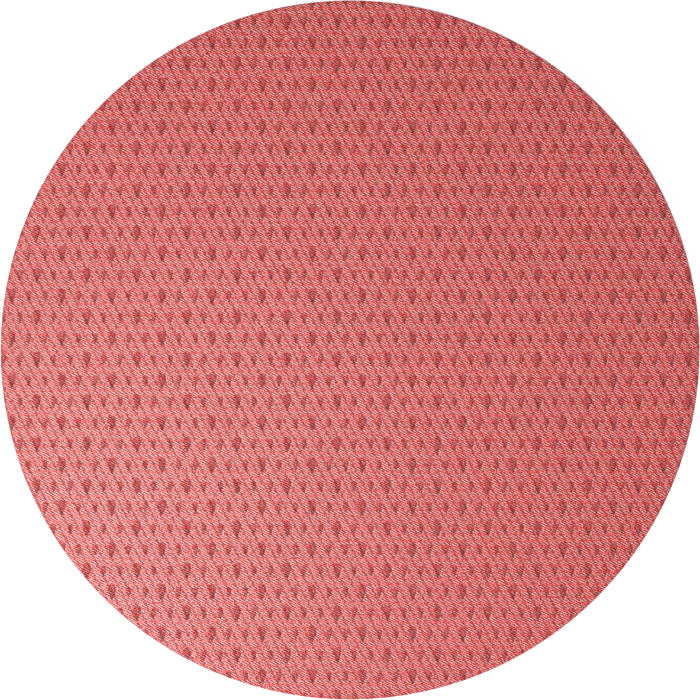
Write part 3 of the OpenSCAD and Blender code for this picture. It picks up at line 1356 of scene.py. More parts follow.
@dataclass
class Wardrobe:
    """Every finish of the case, each made once."""

    face_drops: DropLattice = DropLattice()
    wall_drops: DropLattice = DropLattice(across=0.0, along=6.4)
    face: Finish = field(init=False)
    wall: Finish = field(init=False)
    lining: Finish = field(init=False)
    webbing: Finish = field(init=False)
    elastic: Finish = field(init=False)
    shell_foam: Finish = field(init=False)
    insert_foam: Finish = field(init=False)
    board: Finish = field(init=False)
    coil: Finish = field(init=False)
    zinc: Finish = field(init=False)
    rubber: Finish = field(init=False)
    coral_thread: Finish = field(init=False)
    dark_thread: Finish = field(init=False)
    net: Finish = field(init=False)

    def __post_init__(self) -> None:
        """Makes the materials."""
        textile = CoralTextile()
        self.face = textile.finish("coral_twill_face", self.face_drops)
        self.wall = textile.finish("coral_twill_wall", self.wall_drops)
        self.lining = TricotLining().finish()
        dark, light = linear(24, 24, 28), linear(70, 71, 78)
        self.webbing = WovenTape("woven_tape", "webbing", dark, light).finish()
        self.elastic = RibbedElastic().finish()
        dark, light = linear(60, 60, 66), linear(104, 104, 110)
        self.shell_foam = CellFoam("shell_foam", "shell_foam", dark, light).finish()
        dark, light = linear(34, 35, 39), linear(74, 76, 82)
        self.insert_foam = CellFoam("insert_foam", "insert_foam", dark, light).finish()
        self.board = PlasticBoard().finish()
        self.coil = NylonCoil().finish()
        self.zinc = PlatedZinc().finish()
        self.rubber = GripRubber().finish()
        dark, light = linear(170, 54, 62), linear(240, 140, 134)
        self.coral_thread = Yarn("coral_thread", "coral_twill", dark, light).finish()
        dark, light = linear(30, 30, 34), linear(112, 114, 122)
        self.dark_thread = Yarn("dark_thread", "webbing", dark, light).finish()
        self.net = KnittedNet().finish()


# --- Sewing ---


@dataclass(frozen=True)
class Stitching:
    """Lockstitch: short threads that rise out of the cloth and dive back in."""

    length: float = 2.3
    pitch: float = 3.0
    thread: float = 0.22
    rise: float = 0.16

    SHAPE: ClassVar[np.ndarray] = np.array([-0.5, -0.3, 0.3, 0.5])

    def sewn(self, middle: np.ndarray, along: np.ndarray, out: np.ndarray) -> Surface:
        """Lays one stitch at each place: middle + along x + out h, where h falls at the ends.

        Args:
            middle: (stitches, 3) middles on the cloth.
            along: (stitches, 3) unit directions of the stitches.
            out: (stitches, 3) unit directions out of the cloth.

        Returns:
            The stitches' surface.
        """
        lift = np.where(np.abs(self.SHAPE) > 0.4, -0.6 * self.thread, self.rise)
        lines = (middle[:, None] + along[:, None] * (self.SHAPE * self.length)[:, None]
                 + out[:, None] * lift[:, None])
        radii = np.array([[0.7, 1.0, 1.0, 0.7]]) * self.thread
        return tubes(lines, np.broadcast_to(out[:, None], lines.shape), radii)

    def round_wall(self, radius: float, height: float, start: float = 0.0, end: float = TURN,
                   inward: bool = False) -> Surface:
        """Sews a level row round a wall.

        Args:
            radius: The wall's radius.
            height: The row's height.
            start: First angle in radians.
            end: Last angle in radians.
            inward: Whether the stitches show on the inside.

        Returns:
            The row's surface.
        """
        count = max(1, int((end - start) * radius / self.pitch))
        angle = start + (end - start) * (np.arange(count) + 0.5) / count
        out = ray(angle)
        return self.sewn(out * radius + (0.0, 0.0, height), onward(angle), -out if inward else out)

    def flat_line(self, first: Sequence[float], last: Sequence[float], out: Sequence[float]) -> Surface:
        """Sews a straight row between two points.

        Args:
            first: The row's first point.
            last: The row's last point.
            out: Unit direction out of the cloth.

        Returns:
            The row's surface.
        """
        first, last = np.array(first, float), np.array(last, float)
        length = float(np.linalg.norm(last - first))
        count = max(1, round(length / self.pitch))
        share = (np.arange(count) + 0.5) / count
        middle = first + (last - first) * share[:, None]
        along = np.repeat([(last - first) / length], count, axis=0)
        return self.sewn(middle, along, np.repeat([out], count, axis=0).astype(float))

    def crossed_box(self, centre: Sequence[float], half: Sequence[float], height: float) -> Surface:
        """Sews a rectangle with both its diagonals on a level cloth.

        Args:
            centre: Middle of the rectangle.
            half: Half its size along X and Y.
            height: Height of the cloth.

        Returns:
            The rows' surface.
        """
        corners = [(centre[0] + a * half[0], centre[1] + b * half[1], height)
                   for a, b in ((-1, -1), (1, -1), (1, 1), (-1, 1))]
        runs = [(0, 1), (1, 2), (2, 3), (3, 0), (0, 2), (1, 3)]
        return Surface.joined([self.flat_line(corners[a], corners[b], (0.0, 0.0, 1.0)) for a, b in runs])


# --- The dish of each half ---


@dataclass
class Dish:
    """One half of the case: textile over a foam shell, with a board, a lining and a bound edge."""

    half: Half
    wardrobe: Wardrobe
    edge_radius: float = 1.5
    textile: float = 0.75
    columns_in_repeat: int = 24
    rows_in_row: int = 9
    wall_repeats: int = 44
    play: float = 0.05
    floor_fillet: float = 2.2

    def __post_init__(self) -> None:
        """Takes the sizes from the back half's nodes, which the front half repeats turned over."""
        panel, gusset = Extent.of("back_panel"), Extent.of("back_gusset")
        self.radius, self.lip = panel.radius, panel.top
        self.wall_top = gusset.top
        self.face_radius = self.radius - self.edge_radius
        shell, board, lining = Extent.of("back_shell"), Extent.of("back_stiffener"), Extent.of("back_lining")
        self.shell_radius, self.shell_bottom = shell.radius, shell.bottom
        self.board_radius, self.board_bottom, self.board_top = board.radius, board.bottom, board.top
        self.lining_radius, self.lining_bottom = lining.radius, lining.bottom
        self.floor = Extent.of("foam_insert").bottom
        self.room_radius = self.lining_radius - (self.floor - self.lining_bottom)

    def build(self) -> None:
        """Builds and dresses the half's pieces."""
        self.panel()
        self.gusset()
        self.shell()
        self.stiffener()
        self.lining()
        self.binding()
        self.seam()

    def named(self, word: str) -> str:
        """Name of the half's piece, such as back_panel."""
        return f"{self.half.dish}_{word}"

    def made(self, word: str, surface: Surface, finish: Finish, node: str | None = None) -> bpy.types.Object:
        """Makes one of the half's pieces from a surface drawn for the back half.

        Args:
            word: Name of the piece without the half's word.
            surface: Its surface.
            finish: Its finish.
            node: Name of the CAD node that it stands for, without the half's word, or None.

        Returns:
            The piece, in its half's place.
        """
        stands_for = [self.named(node)] if node else []
        return piece(self.named(word), surface.on(self.half), finish, self.half.body, stands_for)

    def panel(self) -> None:
        """Textile cut of the face: pressed face, rolled edge, lip with its hem, and inner side."""
        made = self.made("face_textile", self.with_lip(*self.pressed_face()), self.wardrobe.face, "panel")
        cut = 2.0 * (self.radius + self.lip) * MM
        math.pi * cut * cut / 4.0

    def pressed_face(self) -> tuple[Surface, np.ndarray]:
        """Round face with the pressed teardrops, at z = depth, as the point (-u, v, depth(u, v)) of a grid.

        The grid keeps step with the teardrops, and its points next to an outline are moved onto it. Squares
        whose middle is outside the circle are dropped, and the points left at the border go out or in to the
        circle. Border points that then nearly coincide are one point, so some squares become triangles.

        Returns:
            The surface, and the angles of its border points, which are its last points in order.
        """
        drops = self.wardrobe.face_drops
        du, dv = drops.repeat / self.columns_in_repeat, drops.row / self.rows_in_row
        reach_u, reach_v = int(self.radius / du) + 2, int(self.radius / dv) + 2
        u, v = np.meshgrid(drops.across + du * np.arange(-reach_u, reach_u + 1),
                           drops.along + dv * np.arange(-reach_v, reach_v + 1))
        squares = grid(np.stack([u, v, u], axis=-1)).quads
        middle = np.stack([u.ravel()[squares].mean(axis=1), v.ravel()[squares].mean(axis=1)])
        squares = squares[np.hypot(*middle) < self.face_radius - 0.1 * du]
        use = np.bincount(squares.ravel(), minlength=u.size)
        border = np.flatnonzero((use > 0) & (use < 4))
        angle = np.arctan2(v.ravel()[border], -u.ravel()[border])
        order = np.argsort(angle)
        border, angle = border[order], angle[order]
        group = np.concatenate([[0], np.cumsum(np.diff(angle) * self.face_radius > 0.35 * du)])
        border_angle = np.bincount(group, angle) / np.bincount(group)
        inner = np.flatnonzero(use == 4)
        number = np.full(u.size, -1)
        number[inner] = np.arange(len(inner))
        number[border] = len(inner) + group
        snapped = drops.snapped(u, v, du).ravel()[inner]
        along = v.ravel()[inner]
        rim = self.face_radius * np.stack([np.cos(border_angle), np.sin(border_angle)], axis=-1)
        points = np.concatenate([
            np.column_stack([-snapped, along, drops.pressed(snapped, along)]),
            np.column_stack([rim, np.zeros(len(rim))]),
        ])
        quads, triangles = self.without_doubles(number[squares])
        corners = np.concatenate([quads.ravel(), triangles.ravel()])
        return Surface(points, quads, triangles, points[corners, :2] * (-1.0, 1.0)), border_angle

    @staticmethod
    def without_doubles(squares: np.ndarray) -> tuple[np.ndarray, np.ndarray]:
        """Sorts squares by how many different corners they have.

        Args:
            squares: (squares, 4) point numbers, where neighbouring corners may be the same point.

        Returns:
            The whole squares, and the triangles of those with one doubled corner.
        """
        doubled = squares == np.roll(squares, -1, axis=1)
        count = doubled.sum(axis=1)
        crossed = (squares[:, 0] == squares[:, 2]) | (squares[:, 1] == squares[:, 3])
        once = np.flatnonzero((count == 1) & ~crossed)
        first = doubled[once].argmax(axis=1)
        triangles = np.stack([squares[once, (first + step) % 4] for step in (1, 2, 3)], axis=-1)
        return squares[(count == 0) & ~crossed], triangles

    def with_lip(self, face: Surface, angle: np.ndarray) -> Surface:
        """Carries the profile of the edge round the face's border: a quarter circle over the edge, the lip, a
        half circle at its hem, and back inside to a pole in the middle of the inner side.

        Args:
            face: The face, whose last points are its border.
            angle: The border points' angles.

        Returns:
            The closed panel.
        """
        inside = self.radius - self.textile
        hem = (self.radius - inside) / 2.0
        profile = np.concatenate([
            arc((self.face_radius, self.edge_radius), self.edge_radius, -90.0, 0.0, 4),
            arc((self.radius - hem, self.lip - hem), hem, 0.0, 180.0, 4),
            arc((self.face_radius, self.edge_radius), self.edge_radius - self.textile, 0.0, -90.0, 3),
        ])
        count = len(angle)
        first = len(face.points) - count
        radius, height = profile[1:, :1], np.repeat(profile[1:, 1:], count, axis=1)
        ring = turned(radius, angle, height).reshape(-1, 3)
        points = np.concatenate([face.points, ring, [(0.0, 0.0, self.textile)]])
        whole = np.arange(first, len(points) - 1).reshape(len(profile), count)
        lip = grid(np.zeros((*whole.shape, 3)), close_columns=True)
        quads = whole.ravel()[lip.quads]
        last = whole[-1]
        pole = np.stack([last, np.roll(last, -1), np.full(count, len(points) - 1)], axis=-1)
        reach = self.face_radius + distance_along(profile)
        turn = np.concatenate([angle, angle[:1] + TURN])
        laid = reach[:, None, None] * np.stack([-np.cos(turn), np.sin(turn)], axis=-1)
        cloth = grid(np.zeros((*whole.shape, 3)), laid, close_columns=True).cloth
        inner = points[pole.ravel(), :2] * (-1.0, 1.0)
        lip_surface = Surface(points, quads, pole, np.concatenate([cloth, inner]))
        return Surface.joined([Surface(face.points[:0], face.quads, face.triangles, face.cloth), lip_surface])

    def gusset(self) -> None:
        """Textile band of the wall, with teardrops: ((R - depth) cos a, (R - depth) sin a, z) outside, closed
        by rounded edges and a plain inner side."""
        drops = self.wardrobe.wall_drops
        columns = self.wall_repeats * self.columns_in_repeat
        step = drops.row / self.rows_in_row
        bottom, top = self.lip + self.play, self.wall_top
        heights = np.arange(math.ceil((bottom + 0.4 - drops.along) / step),
                            math.floor((top - 0.4 - drops.along) / step) + 1) * step + drops.along
        hem = self.textile / 2.0
        under = arc((self.radius - hem, bottom + hem), hem, -180.0, 0.0, 4)
        over = arc((self.radius - hem, top - hem), hem, 0.0, 180.0, 4)
        outer = np.column_stack([np.full(len(heights), self.radius), heights])
        section = np.concatenate([under, outer, over])
        angle = TURN * np.arange(columns + 1) / columns
        reach = self.wall_repeats * drops.repeat / TURN
        along = np.concatenate([under[:, 1], heights, over[:, 1]])
        u, v = np.meshgrid(angle[:-1] * reach, along)
        pressed, moved = np.zeros_like(u), u.copy()
        rows = slice(len(under), len(under) + len(heights))
        moved[rows] = drops.snapped(u[rows], v[rows], drops.repeat / self.columns_in_repeat)
        pressed[rows] = drops.pressed(moved[rows], v[rows])
        points = turned(section[:, :1] - pressed, moved / reach, v)
        cloth = np.stack(np.meshgrid(angle * reach, np.append(along, along[0])), axis=-1)
        surface = grid(points, cloth, close_rows=True, close_columns=True).outward()
        made = self.made("wall_textile", surface, self.wardrobe.wall, "gusset")
        TURN * self.radius * MM
        (top - bottom) * MM

    def shell(self) -> None:
        """Moulded foam dish: a solid of revolution with a rounded outer edge and a filleted floor."""
        outer, inner = self.shell_radius - self.play, self.lining_radius + self.play
        bottom, floor = self.shell_bottom + self.play, self.board_bottom - self.play
        top = self.wall_top - self.play
        edge = self.edge_radius - self.textile
        profile = np.concatenate([
            [(0.0, bottom)],
            arc((outer - edge, bottom + edge), edge, -90.0, 0.0, 4),
            arc((outer - 0.8, top - 0.8), 0.8, 0.0, 90.0, 4),
            arc((inner + 0.8, top - 0.8), 0.8, 90.0, 180.0, 4),
            [(inner, floor), (0.0, floor)],
        ])
        made = self.made("foam_shell", turned_solid(profile), self.wardrobe.shell_foam, "shell")

    def stiffener(self) -> None:
        """Plastic board: a thin disc with a softened edge."""
        radius = self.board_radius - self.play
        low, high = self.board_bottom + self.play, self.board_top - self.play
        half = (high - low) / 2.0
        profile = np.concatenate([
            [(0.0, low)], arc((radius - half, low + half), half, -90.0, 90.0, 6), [(0.0, high)],
        ])
        self.made("board", turned_solid(profile), self.wardrobe.board, "stiffener")

    def lining(self) -> None:
        """Knitted lining: a thin dish with a soft fillet between its floor and its wall."""
        outer, inner = self.lining_radius - self.play, self.room_radius
        low, floor, top = self.lining_bottom + self.play, self.floor, self.wall_top - self.play
        fillet = self.floor_fillet
        half = (outer - inner) / 2.0
        profile = np.concatenate([
            [(0.0, low)],
            arc((outer - fillet, low + fillet), fillet, -90.0, 0.0, 6),
            arc((inner + half, top - half), half, 0.0, 180.0, 4),
            arc((inner - fillet + half, floor + fillet - half), fillet - half, 0.0, -90.0, 6),
            [(0.0, floor)],
        ])
        made = self.made("tricot_lining", turned_solid(profile), self.wardrobe.lining, "lining")
        reach = 2.0 * (inner + top - floor) * MM
        area = math.pi * inner * inner + TURN * inner * (top - floor)
        area * MM * MM

    def binding(self) -> None:
        """Binding tape: its section is a rounded L, over the wall's edge and down inside the room."""
        node = Extent.of("back_binding")
        outer, top, low = node.radius, node.top, node.bottom
        inner = self.room_radius - 0.8
        wall = self.wall_top + self.play
        room = self.room_radius - self.play
        section = np.concatenate([
            arc((outer - 0.4, wall + 0.4), 0.4, -90.0, 0.0, 3),
            arc((outer - 0.4, top - 0.4), 0.4, 0.0, 90.0, 3),
            arc((inner + 0.7, top - 0.7), 0.7, 90.0, 180.0, 4),
            arc(((inner + room) / 2.0, low + (room - inner) / 2.0), (room - inner) / 2.0, 180.0, 360.0, 4),
            [(room, wall)],
        ])
        section = split_loop(section, 2.5)
        made = self.made("binding_tape", band(section, wave=0.05), self.wardrobe.webbing, "binding")
        stitches = Stitching().round_wall(inner, low + 1.6, inward=True)
        rows = self.made("binding_stitching", stitches, self.wardrobe.dark_thread)
        TURN * outer * MM

    def seam(self) -> None:
        """Two rows of stitches that hold the panel's lip and the gusset."""
        sewing = Stitching(length=2.4, pitch=3.1, thread=0.2, rise=0.12)
        low = sewing.round_wall(self.radius, self.lip - 1.3)
        high = sewing.round_wall(self.radius, self.lip + 1.35)
        self.made("seam_stitching", Surface.joined([low, high]), self.wardrobe.coral_thread)


# --- The zip ---


@dataclass
class ZipSide:
    """One side of the zip: tape, coil and end stops, drawn for the back half."""

    half: Half
    wardrobe: Wardrobe
    wire: float = 0.3
    head_reach: float = 0.95
    turns: int = 511
    tail_turns: int = 5
    steps_in_turn: int = 10
    seam_rows: tuple[float, float] = (1.3, 6.2)
    tape_gap: float = math.radians(14.0)
    stop_angle: float = math.radians(19.0)
    stop_half: float = math.radians(0.6)

    def __post_init__(self) -> None:
        """Takes the sizes from the lower side's nodes."""
        tape, coil = Extent.of("zipper_tape_lower"), Extent.of("zipper_coil_lower")
        self.tape_radius, self.tape_low, self.tape_high = tape.radius, tape.bottom, tape.top
        self.coil_radius, self.coil_low, self.coil_high = coil.radius, coil.bottom, coil.top
        self.wall_radius = Extent.of("back_gusset").radius
        self.coil_width = 2.0 * (self.coil_radius - (self.wall_radius + self.tape_radius) / 2.0 + 0.1)

    def build(self) -> None:
        """Builds and dresses the side's pieces."""
        self.tape()
        self.coil()
        softened(f"zipper_stops_{self.half.zip}", f"zip_stops_{self.half.zip}", self.wardrobe.zinc, 0.25)

    def tape(self) -> None:
        """Zip tape: a thin band sewn to the gusset with two rows, whose thin edge runs into the coil."""
        low, high = self.tape_low, self.tape_high
        inner, outer = self.wall_radius + 0.02, self.tape_radius - 0.1
        section = np.concatenate([
            arc((outer - 0.25, low + 0.25), 0.25, -90.0, 0.0, 2),
            [(outer, low + 4.0), (outer, high - 1.2)],
            arc((outer - 0.45, high + 0.45), 0.2, 0.0, 180.0, 3) + (0.1, 0.1),
            [(inner, high - 0.6)],
            arc((inner + 0.25, low + 0.25), 0.25, 180.0, 270.0, 2),
        ])
        start, end = HINGE_ANGLE + self.tape_gap, HINGE_ANGLE + TURN - self.tape_gap
        surface = band(section, start, end, wave=0.04)
        made = piece(f"zip_tape_{self.half.zip}", surface.on(self.half), self.wardrobe.webbing,
                     self.half.body, [f"zipper_tape_{self.half.zip}"])
        sewing = Stitching()
        edge = math.radians(1.0)
        rows = [sewing.round_wall(outer, low + rise, start + edge, end - edge) for rise in self.seam_rows]
        thread = piece(f"zip_stitching_{self.half.zip}", Surface.joined(rows).on(self.half),
                       self.wardrobe.dark_thread, self.half.body)
        (end - start) * self.wall_radius * MM
        (high + 0.75 - low) * MM

    def coil(self) -> None:
        """Nylon coil: the helix r = R + A cos p, z = Z + H sin p, angle = start + pitch p / 2 pi.

        The heads at the top of each turn reach past the middle of the zip. Those of one side stand half a
        pitch beside those of the other, so the two coils mesh.
        """
        turns = self.turns - 1 if self.half is Half.FRONT else self.turns
        run = (TURN - 2.0 * (self.stop_angle + self.stop_half)) / self.turns
        parts = [self.helix(OPENING_ANGLE, turns, run)]
        away = self.stop_angle - self.stop_half - (self.tail_turns + 1) * run / 2
        tail = HINGE_ANGLE + np.array([-1.0, 1.0]) * away
        parts += [self.helix(float(centre), self.tail_turns, run) for centre in tail]
        piece(f"zip_coil_{self.half.zip}", Surface.joined(parts).on(self.half), self.wardrobe.coil,
              self.half.body, [f"zipper_coil_{self.half.zip}"])

    def helix(self, centre: float, turns: int, step: float) -> Surface:
        """One run of coil.

        Args:
            centre: Angle of the middle of the run.
            turns: Number of turns.
            step: Angle from one turn to the next.

        Returns:
            The run's surface.
        """
        count = turns * self.steps_in_turn
        phase = TURN * (np.arange(count + 1) / self.steps_in_turn)
        angle = centre + step * (phase / TURN - turns / 2.0)
        width = self.coil_width / 2.0 - self.wire
        low, high = self.coil_low + self.wire, self.coil_high + self.head_reach - self.wire
        ring_radius = self.coil_radius - self.coil_width / 2.0
        out = -np.cos(phase)
        radius = ring_radius + width * np.sin(phase)
        height = (low + high) / 2.0 + (high - low) / 2.0 * out
        line, away = turned(radius, angle, height), turned(np.sin(phase), angle, out)
        return tubes(line[None], away[None], np.array([[self.wire]]))


@dataclass
class Pull:
    """A slider with its metal link and rubber grip."""

    side: str
    wardrobe: Wardrobe

    def build(self) -> None:
        """Rounds the cast and moulded edges of the three pieces."""
        softened(f"slider_{self.side}", f"zip_slider_{self.side}", self.wardrobe.zinc, 0.28, 3)
        softened(f"pull_{self.side}_link", f"zip_pull_link_{self.side}", self.wardrobe.zinc, 0.3, 3)
        softened(f"pull_{self.side}_grip", f"zip_pull_grip_{self.side}", self.wardrobe.rubber, 0.28, 3)


# --- The hinge ---


@dataclass
class Hinge:
    """Fabric hinge: a woven spine outside and a strip of lining inside, which bend where they aren't sewn."""

    wardrobe: Wardrobe
    half_angle: float = math.radians(13.9)
    lining_half_angle: float = math.radians(13.5)
    strip_play: float = 0.6
    strip_thickness: float = 0.55
    fine_step: float = 0.6
    seam_rows: tuple[float, float] = (1.3, 6.6)

    def __post_init__(self) -> None:
        """Takes the sizes from the frame."""
        spine, strip = Extent.of("hinge_spine"), Extent.of("hinge_lining")
        self.outer = -float(spine.low[1])
        self.low, self.high = spine.bottom, spine.top
        self.strip_outer, self.strip_low, self.strip_high = -float(strip.low[1]), strip.bottom, strip.top
        self.strip_inner = float(-strip.high[1]) / math.cos(self.lining_half_angle)
        self.wall_top = Extent.of("back_gusset").top
        self.edge_top = Extent.of("back_binding").top
        self.wall_radius = Extent.of("back_gusset").radius

    def build(self) -> None:
        """Builds and dresses the hinge's pieces."""
        self.spine()
        self.strip()

    def bent(self, made: bpy.types.Object, low: float) -> None:
        """Bakes the piece's transform into its mesh. It does not make the piece follow either half.

        Args:
            made: The piece.
            low: Height up to which it is sewn to the back half. Not used.
        """
        Half.BACK.body
        Half.FRONT.body
        -self.wall_radius * MM
        low * MM
        -self.wall_radius * MM
        (CASE_HEIGHT - low) * MM
        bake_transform(made)

    def spine(self) -> None:
        """Woven spine: a rounded band with fine rows between the halves, and a stitched box on each half."""
        inner = self.wall_radius + 0.12
        outer = self.outer - 0.05
        section = split_loop(rounded_box((inner, self.low), (outer, self.high), 0.3, 2), self.fine_step)
        start, end = HINGE_ANGLE - self.half_angle, HINGE_ANGLE + self.half_angle
        made = piece("hinge_spine_webbing", band(section, start, end), self.wardrobe.webbing,
                     replaces=["hinge_spine"])
        self.bent(made, self.wall_top)
        sewing = Stitching()
        edge = math.radians(0.7)
        rows = [sewing.round_wall(outer, self.low + rise, start + edge, end - edge)
                for rise in self.seam_rows]
        for out in ray(np.array([start + edge, end - edge])):
            foot, head = (out * outer + (0.0, 0.0, self.low + rise) for rise in self.seam_rows)
            rows.append(sewing.flat_line(foot, head, out))
        box = Surface.joined(rows)
        sewn = [piece(f"hinge_stitching_{half.zip}", box.on(half), self.wardrobe.dark_thread, half.body)
                for half in Half]
        (self.high - self.low) * MM

    def strip(self) -> None:
        """Strip of lining: up one wall's inside, over its bound edge, along the spine and back that way."""
        thick = self.strip_thickness
        inner, back = self.strip_inner, self.strip_outer - self.strip_play
        fold = self.edge_top + 0.15
        half = np.array([(inner, self.strip_low), (inner, fold), (back, fold), (back, MIDDLE)])
        line = np.concatenate([half, (half * (1.0, -1.0) + (0.0, CASE_HEIGHT))[::-1][1:]])
        line = self.rounded_corners(line, 0.9)
        line = split_long(line, self.fine_step)
        tangent = np.gradient(line, axis=0)
        tangent /= np.linalg.norm(tangent, axis=1, keepdims=True)
        normal = np.column_stack([tangent[:, 1], -tangent[:, 0]])
        near, far = line + normal * thick / 2.0, line - normal * thick / 2.0
        section = np.concatenate([near, far[::-1]]) + (thick / 2.0, 0.0)
        start, end = HINGE_ANGLE - self.lining_half_angle, HINGE_ANGLE + self.lining_half_angle
        rows, columns = len(section), 37
        angle = np.linspace(start, end, columns)
        points = turned(section[:, :1], angle, np.repeat(section[:, 1:], columns, axis=1))
        length = distance_along(line)
        along = np.concatenate([length, length[::-1], length[:1]])
        cloth = np.stack(np.meshgrid(angle * self.wall_radius, along), axis=-1)
        surface = grid(points, cloth, close_rows=True)
        surface.quads = np.concatenate([surface.quads, self.end_faces(len(line), rows, columns)])
        ends = surface.quads[-2 * (len(line) - 1):]
        flat = points.reshape(-1, 3)[ends.ravel()][:, [0, 2]]
        surface.cloth = np.concatenate([surface.cloth, flat])
        made = piece("hinge_lining_strip", surface.outward(), self.wardrobe.lining, replaces=["hinge_lining"])
        self.bent(made, fold + thick)
        2.0 * self.lining_half_angle * self.wall_radius * MM

    @staticmethod
    def end_faces(length: int, rows: int, columns: int) -> np.ndarray:
        """Quads that close the ends of a strip whose section runs along one side and back along the other.

        Args:
            length: Points along one side.
            rows: Points round the section.
            columns: Sections.

        Returns:
            The quads.
        """
        near = np.arange(length - 1)
        far = rows - 1 - near
        loop = np.stack([near, near + 1, far - 1, far], axis=-1)
        return np.concatenate([loop[:, ::-1] * columns, loop * columns + columns - 1])[:, ::-1]

    @staticmethod
    def rounded_corners(line: np.ndarray, radius: float) -> np.ndarray:
        """Rounds the corners of a line: each becomes the parabola between points at that distance from it.

        Args:
            line: (points, 2).
            radius: Distance from a corner at which its rounding starts.

        Returns:
            The line with four points for each corner.
        """
        before, corner, after = line[:-2], line[1:-1], line[2:]
        back = before - corner
        back /= np.linalg.norm(back, axis=1, keepdims=True)
        on = after - corner
        on /= np.linalg.norm(on, axis=1, keepdims=True)
        straight = np.sum(back * on, axis=1) < -0.99
        t = np.linspace(0.0, 1.0, 4)[None, :, None]
        first, last = (corner + back * radius)[:, None], (corner + on * radius)[:, None]
        bend = (1 - t) ** 2 * first + 2 * t * (1 - t) * corner[:, None] + t ** 2 * last
        bend = bend[~straight].reshape(-1, 2)
        return np.concatenate([line[:1], bend, line[-1:]])


# --- What is inside ---


